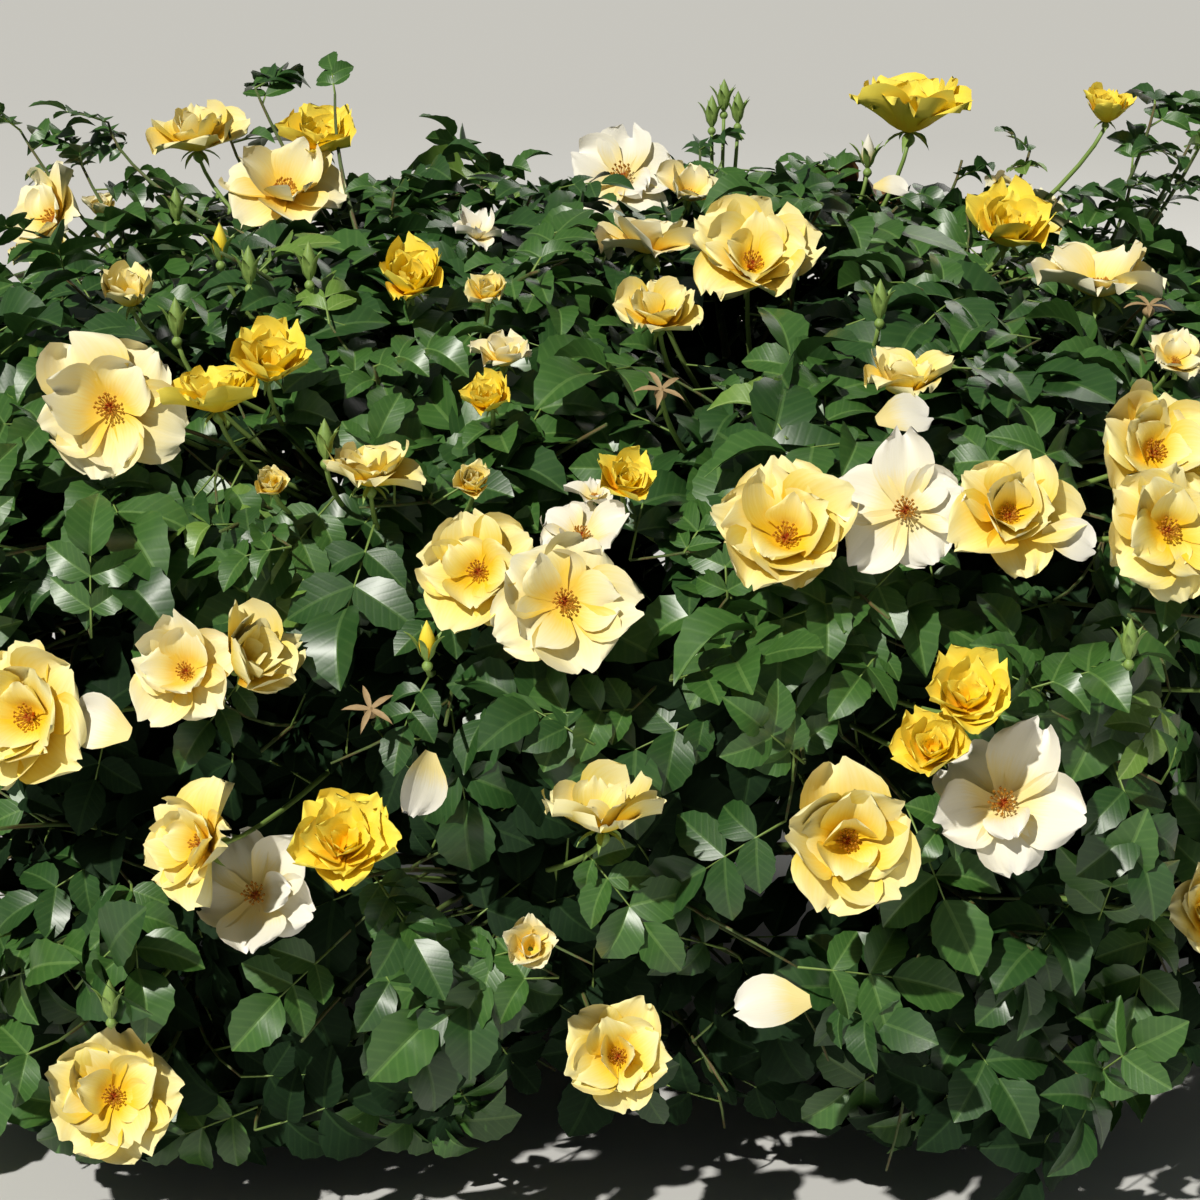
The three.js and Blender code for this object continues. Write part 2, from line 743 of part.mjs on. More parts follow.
const bush = new THREE.Group();
bush.add(meshFrom("foot", footSolid(), bark));
const footSpace = footSolid(CLEARANCE);
for (const limb of limbs) {
  const cut = limb.parent
    ? limbSolid({ ...limb.parent, sides: LIMB_SIDES, steps: LIMB_STEPS }, CLEARANCE)
    : footSpace;
  const solid = largest(limbSolid(limb).subtract(cut));
  bush.add(meshFrom(limb.name, solid, limb.parent ? greenBark : bark));
}
for (const mass of masses) {
  bush.add(meshFrom(mass.name, joined(mass.pieces), foliage));
}

export default bush;
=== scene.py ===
"""A yellow rose bush in full bloom. Twigs, leaves and blooms grow on from its canes and boughs.

Lengths are millimetres until a mesh is made, +Z is up, and the front of the bush faces -Y.
"""
import math

import bpy
import numpy as np
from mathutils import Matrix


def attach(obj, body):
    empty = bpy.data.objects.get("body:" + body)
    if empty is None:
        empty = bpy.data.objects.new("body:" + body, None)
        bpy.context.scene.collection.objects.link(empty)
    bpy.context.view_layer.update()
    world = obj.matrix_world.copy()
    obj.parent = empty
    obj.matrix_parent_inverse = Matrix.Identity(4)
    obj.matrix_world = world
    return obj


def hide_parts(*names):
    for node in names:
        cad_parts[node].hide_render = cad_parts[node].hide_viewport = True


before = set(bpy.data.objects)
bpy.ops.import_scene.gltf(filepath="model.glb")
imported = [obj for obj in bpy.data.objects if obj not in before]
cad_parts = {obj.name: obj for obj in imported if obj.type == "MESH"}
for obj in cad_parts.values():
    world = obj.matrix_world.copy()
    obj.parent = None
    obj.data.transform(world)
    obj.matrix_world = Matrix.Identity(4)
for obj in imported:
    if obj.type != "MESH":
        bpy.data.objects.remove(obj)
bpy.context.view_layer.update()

MM = 0.001

# The crown is a lumpy rounded box round the point (0, 0, middle).
HALF_WIDTH, HALF_DEPTH, MIDDLE_Z, RISE, DROP = 600, 500, 345, 285, 400
SQUARENESS, LUMPS = 2.6, 0.035
MIDDLE = np.array([0.0, 0.0, MIDDLE_Z])
UP = np.array([0.0, 0.0, 1.0])
LOWEST_TWIG = 28
LEAF_BOX = np.array([[-640, -568, 24], [672, 542, 719]])  # leaves grow within these corners
LEAF_ON_SOIL = 2  # leaflets that would hang lower lie on the ground
GOLDEN_ANGLE = 137.508

# Limbs and rings of masses, as shares of the crown's half width and half depth.
FOOT_PROFILE = [(46, 0), (39, 9), (34, 26), (32, 56), (23, 74), (10, 80), (0.5, 81)]
CANE_RADII, LOW_RADII, TOP_RADII = (9, 5), (6, 4), (5, 4)
CANE_STARTS, LOW_FORK, TOP_FORK = (24, 38), 0.42, 0.7
# Where canes and boughs bend: how far out, and at which height.
CANE_FOOT_OUT, CANE_FOOT_RISE, CANE_BEND = 0.11, 46, (0.19, 205)
LOW_BEND, TOP_BEND = (0.23, 160), (0.25, 335)
LEADER_START, LEADER_BEND, LEADER_TIP = (0, 0, 56), (10, -12, 230), (-6, 4)
LOW_RING = dict(count=8, turn=0, out=0.61, z=195, tip_out=0.36, tip_z=180)
MID_RING = dict(count=8, turn=22.5, out=0.57, z=410, tip_out=0.335, tip_z=325)
TOP_RING = dict(count=4, turn=45, out=0.37, z=540, tip_out=0.27, tip_z=425)
CENTRE_Z, CENTRE_TIP_Z = 555, 400
SWAY = dict(turn=6, out=0.05, z=18)
LAYOUT_SEED, GROWTH_SEED = 11, 5
STEM_LENGTH = 125
STEM_RADII = (4.5, 2.6)
BRANCH_ANGLES = (52, 66, 40, 80, 28, 100, 18)

# The place that the bush is seen from, its view's droop, and the picture plane there in pixels.
EYE = np.array([0.0, -2390.0, 969.0])
EYE_DROOP = 15
PICTURE, FOCAL = 1200, 3333
SIGHT_STEPS = np.arange(1500, 3100, 4)[:, None]
FRAME_MARGIN, EDGE_ON = 40, 0.08  # what still counts as seen in front
DROOP_COS, DROOP_SIN = math.cos(math.radians(EYE_DROOP)), math.sin(math.radians(EYE_DROOP))
VIEW_WAY, VIEW_UP = np.array([0, DROOP_COS, -DROOP_SIN]), np.array([0, DROOP_SIN, DROOP_COS])

# Blooms stand a little out of the crown. One that runs into another moves back by steps.
BLOOM_SHARE, BLOOM_ROOM = 1.02, 0.36
BACK_STEP, BACK_STEPS = 12, 7
FLAT_DEPTH, CUP_DEPTH = 0.16, 0.3
FACE_ROOM, SIDE_ROOM = 0.1, 0.55

# Blooms on the front: place in the picture, width in millimetres, tilt, turn, cup and age.
FRONT_BLOOMS = [
    (195, 128, 72, 62, -20, 0.6, "open"), (285, 178, 96, 42, 10, 0.3, "fading"),
    (322, 132, 56, 50, 10, 0.9, "fresh"), (42, 214, 78, 15, -48, 0.3, "fading"),
    (412, 275, 46, 35, 5, 1, "fresh"), (130, 288, 44, 50, 0, 0.8, "open"),
    (270, 358, 50, 40, 15, 0.9, "fresh"), (215, 388, 56, 65, -25, 0.7, "fresh"),
    (105, 405, 96, 5, -8, 0.15, "fading"), (370, 465, 58, 68, 0, 0.5, "open"),
    (565, 600, 86, 4, 6, 0.15, "fading"), (475, 568, 74, 12, -10, 0.3, "open"),
    (582, 528, 62, 40, 10, 0.2, "old"), (620, 168, 96, 30, -15, 0.2, "old"),
    (650, 232, 78, 76, 0, 0.3, "fading"), (692, 186, 46, 45, 25, 0.6, "fading"),
    (755, 250, 82, 34, 10, 0.5, "open"), (910, 102, 80, 66, 0, 0.75, "fresh"),
    (1010, 222, 60, 42, 10, 0.9, "fresh"), (1108, 105, 38, 60, 10, 1, "fresh"),
    (1100, 270, 88, 68, 5, 0.4, "fading"), (660, 308, 54, 50, 0, 0.6, "open"),
    (905, 375, 54, 66, 0, 0.6, "open"), (628, 478, 34, 35, 20, 1, "fresh"),
    (785, 528, 88, 24, -6, 0.4, "open"), (905, 508, 84, 6, -6, 0.12, "old"),
    (1013, 508, 68, 18, 6, 0.6, "open"), (1172, 528, 82, 8, 10, 0.2, "open"),
    (1160, 445, 78, 20, 12, 0.4, "open"), (18, 715, 92, 6, -25, 0.3, "open"),
    (255, 655, 60, 20, 48, 0.8, "open"), (180, 668, 64, 12, -12, 0.5, "fading"),
    (188, 842, 66, 8, -44, 0.45, "open"), (252, 892, 86, 16, -6, 0.22, "old"),
    (345, 838, 58, 30, 0, 0.7, "fresh"), (112, 1095, 80, 14, 4, 0.3, "open"),
    (603, 805, 70, 72, 10, 0.5, "open"), (617, 1055, 68, 14, -4, 0.4, "open"),
    (1002, 800, 98, 14, -12, 0.12, "old"), (970, 692, 50, 36, 0, 0.75, "fresh"),
    (932, 744, 44, 30, -12, 0.8, "fresh"), (850, 840, 82, 5, 4, 0.5, "open"),
    (1215, 912, 60, 10, 20, 0.6, "open"),
]
# Small blooms and spent flower heads among the leaves.
SMALL_BLOOMS = [
    (488, 395, 30, 40, -20, 1, "fresh"), (505, 352, 36, 60, 20, 0.6, "fading"),
    (477, 226, 38, 60, 0, 0.6, "old"), (488, 288, 30, 50, 0, 0.8, "open"),
    (1178, 355, 38, 40, 20, 0.5, "fading"), (530, 945, 34, 20, 0, 0.8, "fading"),
    (473, 480, 26, 30, 0, 1, "open"), (272, 483, 24, 30, 0, 1, "open"),
    (100, 205, 28, 60, 0, 0.9, "fading"), (595, 490, 28, 50, 10, 0.6, "old"),
    (370, 705, 30, 30, 0, 0.2, "spent"), (662, 385, 24, 40, 10, 0.2, "spent"),
    (1150, 300, 24, 60, 10, 0.2, "spent"),
]
# Fallen petals: place in the picture, length, tilt and turn of the face, and turn of the petal.
LOOSE_PETALS = [
    (103, 724, 40, 8, -20, -12), (422, 782, 38, 0, 38, 62),
    (903, 418, 34, 34, 10, 188), (1068, 540, 32, 24, 10, 160),
    (890, 188, 24, 44, 0, 176), (775, 1005, 44, 40, 4, 4),
]
FRONT_BUDS = [
    (220, 243, "yellow"), (712, 112, "green"),
    (724, 96, "green"), (738, 108, "green"),
    (868, 152, "white"), (427, 642, "yellow"),
]
SMALL_BUDS = [
    (249, 266, "green"), (309, 262, "green"),
    (176, 318, "green"), (325, 440, "green"),
    (176, 205, "green"), (880, 300, "green"),
    (1130, 640, "green"), (110, 1000, "green"),
]
BUD_LENGTH, BUD_WIDTH, BUD_TILT = 30, 15, 72
# Tips of young shoots that stand above the crown.
HIGH_SHOOTS = [
    (1155, 104), (1192, 140), (1132, 168), (1060, 196), (1215, 110), (75, 148), (108, 122), (255, 88),
    (335, 94), (228, 128), (480, 172), (560, 188), (840, 172), (962, 160), (785, 192), (20, 130),
    (395, 190), (700, 150), (1030, 150),
]
# Tips of leafy shoots that hang low at the corners of the view.
LOW_SHOOTS = [
    (28, 1110), (85, 1170), (150, 1140), (205, 1165), (18, 1165), (120, 1185), (255, 1130), (60, 1040),
    (300, 1160), (180, 1185), (1020, 1120), (1090, 1080), (1160, 1040), (40, 1190),
]
LOWEST_SHOOT = 62
HIGH_REACH, LOW_REACH = 1.34, 1.7  # how far their leaves go, as shares of the crown
OTHER_BLOOMS = dict(count=36, across=58, spread=34, apart=135, seed=7, lowest_lift=-0.55)
MORE_BLOOMS = dict(count=120, across=46, spread=34, apart=92, seed=19, lowest_lift=-0.5)
OTHER_AGES = ("fresh", "open", "old", "open", "fading")


def rad(degrees):
    return degrees * math.pi / 180


def unit(v):
    v = np.asarray(v, float)
    return v / np.maximum(np.linalg.norm(v, axis=-1, keepdims=True), 1e-9)


def dot(a, b):
    return np.sum(a * b, axis=-1)


def unit_steps(count):
    """Even steps from 0 to 1."""
    return np.linspace(0, 1, count)


def taper(ends, t):
    """A radius that changes evenly from its first to its last value."""
    return ends[0] + (ends[1] - ends[0]) * t


class Stream:
    """The same repeatable stream of numbers from 0 to 1 that lays out the limbs."""

    def __init__(self, seed):
        self.state = seed

    def __call__(self):
        self.state = self.state * 16807 % 2147483647
        return self.state / 2147483647


# The crown's form.
def crown_share(point):
    """How far out points lie, as a share of the crown: 1 is its surface."""
    p = np.asarray(point, float) - MIDDLE
    x, y, z = p[..., 0], p[..., 1], p[..., 2]
    height = np.where(z > 0, RISE, DROP)
    total = (
        np.abs(x / HALF_WIDTH) ** SQUARENESS
        + np.abs(y / HALF_DEPTH) ** SQUARENESS
        + np.abs(z / height) ** SQUARENESS
    )
    turn = np.arctan2(y, x)
    lift = z / (np.sqrt(x * x + y * y + z * z) + 1e-9)
    wave = np.sin(5 * turn + 1) + np.sin(3 * turn - 6 * lift)
    return total ** (1 / SQUARENESS) / (1 + LUMPS * wave * (1 - lift * lift))


def outward_normal(point):
    slopes = [crown_share(point + axis) - crown_share(point - axis) for axis in np.eye(3)]
    return unit(np.stack(slopes, axis=-1))


def spiral_points(count, lowest_lift):
    """Even directions from the crown's middle, carried out to its surface."""
    i = np.arange(count)
    lift = 1 - (2 * i + 1) / count
    i, lift = i[lift >= lowest_lift], lift[lift >= lowest_lift]
    turn = rad(i * GOLDEN_ANGLE)
    flat = np.sqrt(1 - lift * lift)
    height = np.where(lift > 0, RISE, DROP)
    ways = np.stack(
        [HALF_WIDTH * flat * np.cos(turn), HALF_DEPTH * flat * np.sin(turn), height * lift], axis=1
    )
    return MIDDLE + ways / crown_share(ways + MIDDLE)[:, None]


def bezier(controls, t):
    """Points on curves of 3 or 4 controls: controls is (..., k, 3), t is (n,)."""
    points = np.asarray(controls, float)[..., None, :, :] * np.ones((len(t), 1, 1))
    t = np.asarray(t, float)[:, None, None]
    while points.shape[-2] > 1:
        points = points[..., :-1, :] * (1 - t) + points[..., 1:, :] * t
    return points[..., 0, :]


# The layout of the limbs and masses.
def ring_place(turn, out, z):
    return np.array([HALF_WIDTH * out * math.cos(rad(turn)), HALF_DEPTH * out * math.sin(rad(turn)), z])


def swayed_ring(ring, random):
    places = []
    for i in range(ring["count"]):
        turn = ring["turn"] + 360 / ring["count"] * i + (2 * random() - 1) * SWAY["turn"]
        out = (2 * random() - 1) * SWAY["out"]
        z = (2 * random() - 1) * SWAY["z"]
        centre = ring_place(turn, ring["out"] + out, ring["z"] + z)
        tip = ring_place(turn, ring["tip_out"] + out / 2, ring["tip_z"] + z / 2)
        places.append((turn, centre, tip))
    return places


def forked(cane, fork, place, bend):
    """The curve of a bough that forks from a cane."""
    start = bezier(cane, [fork])[0]
    cane_turn = math.degrees(math.atan2(start[1] / HALF_DEPTH, start[0] / HALF_WIDTH))
    swing = (place[0] - cane_turn + 540) % 360 - 180
    return [start, ring_place(cane_turn + swing / 2, *bend), place[2]]


sway_random = Stream(LAYOUT_SEED)
low_ring = swayed_ring(LOW_RING, sway_random)
mid_ring = swayed_ring(MID_RING, sway_random)
top_ring = swayed_ring(TOP_RING, sway_random)

canes = []
for i, (turn, _, tip) in enumerate(mid_ring):
    start = CANE_STARTS[i % 2]
    low_bend = ring_place(turn, CANE_FOOT_OUT, start + CANE_FOOT_RISE)
    canes.append([np.array([0, 0, start]), low_bend, ring_place(turn, *CANE_BEND), tip])
leader = [np.array(p) for p in (LEADER_START, LEADER_BEND, (*LEADER_TIP, CENTRE_TIP_Z))]
low_boughs = [forked(canes[i], LOW_FORK, place, LOW_BEND) for i, place in enumerate(low_ring)]
top_boughs = [forked(canes[2 * i], TOP_FORK, place, TOP_BEND) for i, place in enumerate(top_ring)]

limbs = [(f"cane_{i + 1}", c, CANE_RADII, "old_bark") for i, c in enumerate(canes)]
limbs += [("leader", leader, CANE_RADII, "old_bark")]
limbs += [(f"low_bough_{i + 1}", c, LOW_RADII, "green_bark") for i, c in enumerate(low_boughs)]
limbs += [(f"top_bough_{i + 1}", c, TOP_RADII, "green_bark") for i, c in enumerate(top_boughs)]

mass_names = [f"low_mass_{i + 1}" for i in range(8)] + [f"mid_mass_{i + 1}" for i in range(8)]
mass_names += [f"top_mass_{i + 1}" for i in range(4)] + ["centre_mass"]
mass_centres = np.array([p[1] for p in low_ring + mid_ring + top_ring] + [[0, 0, CENTRE_Z]])
stem_curves = low_boughs + canes + top_boughs + [leader]
stem_starts = np.array([c[-1] for c in stem_curves])
stem_ways = unit(np.array([c[-1] - c[-2] for c in stem_curves]))
stem_ends = stem_starts + stem_ways * STEM_LENGTH


def nearest_mass(points):
    return np.argmin(np.linalg.norm(points[..., None, :] - mass_centres, axis=-1), axis=-1)


def stem_start(mass, target, angle):
    """Where a twig that ends at a target leaves its mass's stem, for a given branching angle."""
    offset = target - stem_starts[mass]
    ahead = dot(offset, stem_ways[mass])
    out = np.sqrt(np.maximum(0, dot(offset, offset) - ahead**2))
    place = np.clip((ahead - out / math.tan(rad(angle))) / STEM_LENGTH, 0.1, 0.97)
    return stem_starts[mass] + stem_ways[mass] * (place * STEM_LENGTH)[..., None]


# Limbs and stems as short straight lengths, for keeping leaves clear of them.
rod_points = [bezier(c, unit_steps(9)) for _, c, _, _ in limbs]
rod_starts = np.concatenate([p[:-1] for p in rod_points])
rod_ends = np.concatenate([p[1:] for p in rod_points])


def clear_of_rods(points, starts, ends, margin):
    way = ends - starts
    share = dot(points[..., None, :] - starts, way) / dot(way, way)
    near = starts + np.clip(share, 0, 1)[..., None] * way
    return np.all(np.linalg.norm(points[..., None, :] - near, axis=-1) > margin, axis=-1)


def clear_of_limbs(points, margin):
    return clear_of_rods(points, rod_starts, rod_ends, margin)


# Places of the blooms.
def sight_line(px, py):
    half = PICTURE / 2
    return VIEW_WAY + np.array([1, 0, 0]) * (px - half) / FOCAL + VIEW_UP * (half - py) / FOCAL


def place_in_view(px, py, share):
    """Where a line of sight comes within a share of the crown, or else where it passes nearest."""
    points = EYE + sight_line(px, py) * SIGHT_STEPS
    shares = crown_share(points)
    inside = np.nonzero(shares < share)[0]
    return points[inside[0]] if len(inside) else points[np.argmin(shares)]


def facing_of(tilt, turn):
    up, aside = rad(tilt + EYE_DROOP), rad(turn)
    flat = math.cos(up)
    return np.array([math.sin(aside) * flat, -math.cos(aside) * flat, math.sin(up)])


def bloom_depth(across, cup):
    return across * (FLAT_DEPTH + CUP_DEPTH * cup)


blooms = []


def settled_centre(px, py, across):
    """Blooms that would run into an earlier one stand a little further back."""
    centre = place_in_view(px, py, BLOOM_SHARE)
    back = unit(sight_line(px, py)) * BACK_STEP
    for _ in range(BACK_STEPS):
        if not any(np.linalg.norm(b["centre"] - centre) < BLOOM_ROOM * (b["across"] + across)
                   for b in blooms):
            break
        centre = centre + back
    return centre


def add_bloom(centre, facing, across, cup, age):
    blooms.append(dict(centre=centre, facing=unit(facing), across=across, cup=cup, age=age))


def add_seen(bloom_rows, bud_rows):
    for px, py, across, tilt, turn, cup, age in bloom_rows:
        add_bloom(settled_centre(px, py, across), facing_of(tilt, turn), across, cup, age)
    for px, py, colour in bud_rows:
        centre = settled_centre(px, py, BUD_WIDTH)
        add_bloom(centre, facing_of(BUD_TILT, 0), BUD_WIDTH, 1, colour + "_bud")


def seen_in_front(point):
    offset = point - EYE
    ahead = offset @ VIEW_WAY
    towards = outward_normal(point) @ unit(offset)
    return towards < EDGE_ON and abs(offset[0] / ahead * FOCAL) < PICTURE / 2 + FRAME_MARGIN


def add_other_blooms(kind):
    """Blooms where the front view does not show the crown."""
    random = Stream(kind["seed"])
    for i, point in enumerate(spiral_points(kind["count"], kind["lowest_lift"])):
        point = MIDDLE + (point - MIDDLE) * BLOOM_SHARE
        across = kind["across"] + kind["spread"] * random()
        cup = 0.15 + 0.75 * random() ** 2
        lean = np.array([random() - 0.5, random() - 0.5, random() * 0.9])
        if seen_in_front(point):
            continue
        if any(np.linalg.norm(b["centre"] - point) < kind["apart"] for b in blooms):
            continue
        add_bloom(point, outward_normal(point) + lean, across, cup, OTHER_AGES[i * 3 % 5])


add_seen(FRONT_BLOOMS, FRONT_BUDS)
add_other_blooms(OTHER_BLOOMS)
add_seen(SMALL_BLOOMS, SMALL_BUDS)
for px, py, across, tilt, turn, spin in LOOSE_PETALS:
    add_bloom(settled_centre(px, py, across), facing_of(tilt, turn), across, 0.1, "petal")
    blooms[-1]["spin"] = rad(spin)
add_other_blooms(MORE_BLOOMS)

bloom_centres = np.array([b["centre"] for b in blooms])
bloom_facings = np.array([b["facing"] for b in blooms])
bloom_widths = np.array([b["across"] for b in blooms])
bloom_depths = np.array([bloom_depth(b["across"], b["cup"]) for b in blooms])


def clear_of_blooms(points, margin, front):
    """False in the drum of space that a bloom needs, from its hip to in front of its face."""
    offset = points[..., None, :] - bloom_centres
    height = dot(offset, bloom_facings)
    out = np.sqrt(np.maximum(0, dot(offset, offset) - height**2))
    behind = height < -bloom_depths - margin
    ahead = height > bloom_widths * (FACE_ROOM + front) + margin
    return np.all(behind | ahead | (out > bloom_widths * SIDE_ROOM + margin), axis=-1)


# Meshes gathered from many small shapes.
class Heap:
    """Vertices, triangles and a map of (along, across) for one joined piece."""

    def __init__(self):
        self.verts, self.faces, self.maps, self.count = [], [], [], 0

    def add(self, verts, faces, uv):
        """verts is (n, v, 3): n copies of one shape that has the faces (f, 3) and the map (v, 2)."""
        verts = np.asarray(verts, float)
        if verts.ndim == 2:
            verts = verts[None]
        n, v = verts.shape[:2]
        self.verts.append(verts.reshape(-1, 3))
        shifts = self.count + v * np.arange(n)
        self.faces.append((np.asarray(faces)[None] + shifts[:, None, None]).reshape(-1, 3))
        self.maps.append(np.broadcast_to(uv, (n, v, 2)).reshape(-1, 2))
        self.count += n * v


def grid_faces(rows, columns, closed=False):
    """Triangles of a grid of points, row by row. A closed grid joins its last column to its first."""
    faces = []
    for r in range(rows - 1):
        for c in range(columns if closed else columns - 1):
            a, b = r * columns + c, r * columns + (c + 1) % columns
            faces += [(a, b, b + columns), (a, b + columns, a + columns)]
    return np.array(faces)


def grid_map(rows, sides):
    """The map of a closed grid: the share of its length at each row, and the share of its round."""
    u, v = np.meshgrid(rows, np.arange(sides) / sides, indexing="ij")
    return np.stack([u.ravel(), v.ravel()], axis=1)


def round_angles(sides):
    return np.arange(sides) * 2 * math.pi / sides


def fan(sides):
    """Triangles that close the first ring of a closed grid."""
    return [(0, i + 1, i) for i in range(1, sides - 1)]


def tubes(points, radii, sides):
    """Tubes along (n, k, 3) points with (n, k) radii, as vertices, faces and a map."""
    points = np.asarray(points, float)
    n, k = points.shape[:2]
    along = unit(np.gradient(points, axis=1))
    chord = unit(points[:, -1] - points[:, 0])
    other = np.where(np.abs(chord[:, 2:3]) < 0.9, UP, np.array([1.0, 0, 0]))
    sideways = unit(np.cross(chord, other))[:, None, :]
    across = unit(np.cross(along, sideways))
    lie = np.cross(across, along)
    angle = round_angles(sides)
    ring = across[:, :, None] * np.cos(angle)[:, None] - lie[:, :, None] * np.sin(angle)[:, None]
    verts = points[:, :, None] + ring * np.asarray(radii, float)[:, :, None, None]
    end = np.array(fan(sides))[:, [0, 2, 1]] + (k - 1) * sides
    faces = np.concatenate([grid_faces(k, sides, closed=True), fan(sides), end])
    return verts.reshape(n, k * sides, 3), faces, grid_map(unit_steps(k), sides)


def add_object(name, data):
    made = bpy.data.objects.new(name, data)
    bpy.context.collection.objects.link(made)
    return made


def make_piece(name, heap, material, nodes=mass_names):
    mesh = bpy.data.meshes.new(name)
    verts, faces = np.concatenate(heap.verts) * MM, np.concatenate(heap.faces).astype(np.int32)
    mesh.vertices.add(len(verts))
    mesh.vertices.foreach_set("co", verts.astype(np.float32).ravel())
    mesh.loops.add(faces.size)
    mesh.loops.foreach_set("vertex_index", faces.ravel())
    mesh.polygons.add(len(faces))
    mesh.polygons.foreach_set("loop_start", np.arange(0, faces.size, 3, dtype=np.int32))
    uv = np.concatenate(heap.maps)[faces.ravel()].astype(np.float32).ravel()
    for layer in ("OFBake", "shade"):
        mesh.uv_layers.new(name=layer).data.foreach_set("uv", uv)
    mesh.update()
    mesh.shade_smooth()
    mesh.materials.append(material)
    piece = add_object(name, mesh)
    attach(piece, "root")
    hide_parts(*nodes)


# Materials. Every pattern is drawn along and across the leaf, petal or stem it lies on.
def srgb(red, green, blue):
    return tuple(((c / 255 + 0.055) / 1.055) ** 2.4 if c > 10 else c / 3294 for c in (red, green, blue))


def set_inputs(node, values):
    for socket, value in values.items():
        node.inputs[socket].default_value = value


COAT_ROUGHNESS = 0.3
VEIN_SLANT, VEIN_WAVES, VEIN_SHARE = 0.55, 46, 0.16
MIDRIB_HALF, MIDRIB_SHARE = 0.035, 0.55
STREAK_SHARE, FLUSH_SHARE = 0.35, 0.6


class Surface:
    """A new material, with short names for the node kinds that are used in it."""

    def __init__(self, name, roughness, coat=0.0, specular=0.5):
        self.material = bpy.data.materials.new(name)
        self.material.use_nodes = True
        self.tree = self.material.node_tree
        self.shader = self.tree.nodes["Principled BSDF"]
        set_inputs(self.shader, {
            "Roughness": roughness, "Coat Weight": coat, "Coat Roughness": COAT_ROUGHNESS,
            "Specular IOR Level": specular,
        })
        self.map = self.node("UVMap")
        self.map.uv_map = "shade"
        split = self.node("SeparateXYZ")
        self.link(self.map.outputs[0], split.inputs[0])
        self.along, self.across = split.outputs[0], split.outputs[1]

    def node(self, kind):
        return self.tree.nodes.new("ShaderNode" + kind)

    def link(self, a, b):
        self.tree.links.new(a, b)

    def fill(self, socket, value):
        """Sets a socket to a plain number or colour, or links it."""
        if isinstance(value, tuple):
            socket.default_value = (*srgb(*value), 1)
        elif isinstance(value, (int, float)):
            socket.default_value = value
        else:
            self.link(value, socket)

    def math(self, kind, a, b=0.0):
        node = self.node("Math")
        node.operation = kind
        self.fill(node.inputs[0], a)
        self.fill(node.inputs[1], b)
        return node.outputs[0]

    def noise(self, scale, detail=3.0, stretch=(1, 1)):
        mapping, node = self.node("Mapping"), self.node("TexNoise")
        set_inputs(mapping, {"Scale": (scale * stretch[0], scale * stretch[1], 1)})
        set_inputs(node, {"Scale": 1, "Detail": detail})
        self.link(self.map.outputs[0], mapping.inputs["Vector"])
        self.link(mapping.outputs[0], node.inputs["Vector"])
        return node.outputs["Fac"]

    def ramp(self, factor, stops):
        node = self.node("ValToRGB")
        elements = node.color_ramp.elements
        while len(elements) < len(stops):
            elements.new(0.5)
        for element, (place, colour) in zip(elements, stops):
            element.position = place
            element.color = (*srgb(*colour), 1)
        self.link(factor, node.inputs[0])
        return node.outputs[0]

    def mix(self, factor, a, b):
        node = self.node("Mix")
        node.data_type = "RGBA"
        for socket, value in ((0, factor), (6, a), (7, b)):
            self.fill(node.inputs[socket], value)
        return node.outputs[2]

    def bump(self, height, strength, distance):
        node = self.node("Bump")
        set_inputs(node, {"Strength": strength, "Distance": distance})
        self.link(height, node.inputs["Height"])
        self.link(node.outputs[0], self.shader.inputs["Normal"])

    def colour(self, socket):
        self.link(socket, self.shader.inputs["Base Color"])


def leaf_material(name, dark, light, vein, roughness=0.42, coat=0.32, specular=0.5):
    """Side veins run from the midrib to the teeth, and the blade swells between them."""
    n = Surface(name, roughness, coat, specular)
    aside = n.math("ABSOLUTE", n.math("SUBTRACT", n.across, 0.5))
    slant = n.math("SUBTRACT", n.along, n.math("MULTIPLY", aside, VEIN_SLANT))
    wave = n.math("SINE", n.math("MULTIPLY", slant, VEIN_WAVES))
    veins = n.math("POWER", n.math("MULTIPLY", n.math("ADD", wave, 1), 0.5), 5)
    midrib = n.math("GREATER_THAN", MIDRIB_HALF, aside)
    blade = n.mix(n.noise(5, 3, (1, 0.7)), dark, light)
    lined = n.mix(n.math("MULTIPLY", veins, VEIN_SHARE), blade, vein)
    n.colour(n.mix(n.math("MULTIPLY", midrib, MIDRIB_SHARE), lined, vein))
    height = n.math("SUBTRACT", n.noise(20, 1), n.math("ADD", veins, n.math("MULTIPLY", midrib, 1.5)))
    n.bump(height, 0.2, 0.0003)
    return n.material


def petal_material(name, base, middle, edge):
    """Deeper at the base, paler at the edge, with fine streaks along the petal."""
    n = Surface(name, 0.6, specular=0.2)
    shift = n.math("MULTIPLY", n.math("SUBTRACT", n.noise(3, 4, (0.6, 9)), 0.5), STREAK_SHARE)
    place = n.math("ADD", n.along, shift)
    n.colour(n.ramp(place, [(0.0, base), (0.28, base), (0.55, middle), (0.95, edge)]))
    n.bump(n.noise(2, 2, (1.2, 12)), 0.35, 0.0005)
    return n.material


def stem_material(name, dark, light, flush, roughness=0.5):
    """Bark with long ridges and a flush of another colour in patches."""
    n = Surface(name, roughness)
    bark = n.mix(n.noise(5, 5, (3, 5)), dark, light)
    patches = n.math("GREATER_THAN", n.noise(3, 2, (2, 1)), 0.56)
    n.colour(n.mix(n.math("MULTIPLY", patches, FLUSH_SHARE), bark, flush))
    n.bump(n.noise(7, 6, (3, 8)), 0.6, 0.001)
    return n.material


def plain_material(name, low, high, roughness=0.5):
    n = Surface(name, roughness)
    n.colour(n.mix(n.noise(6, 3), low, high))
    n.bump(n.noise(14, 2), 0.3, 0.0004)
    return n.material


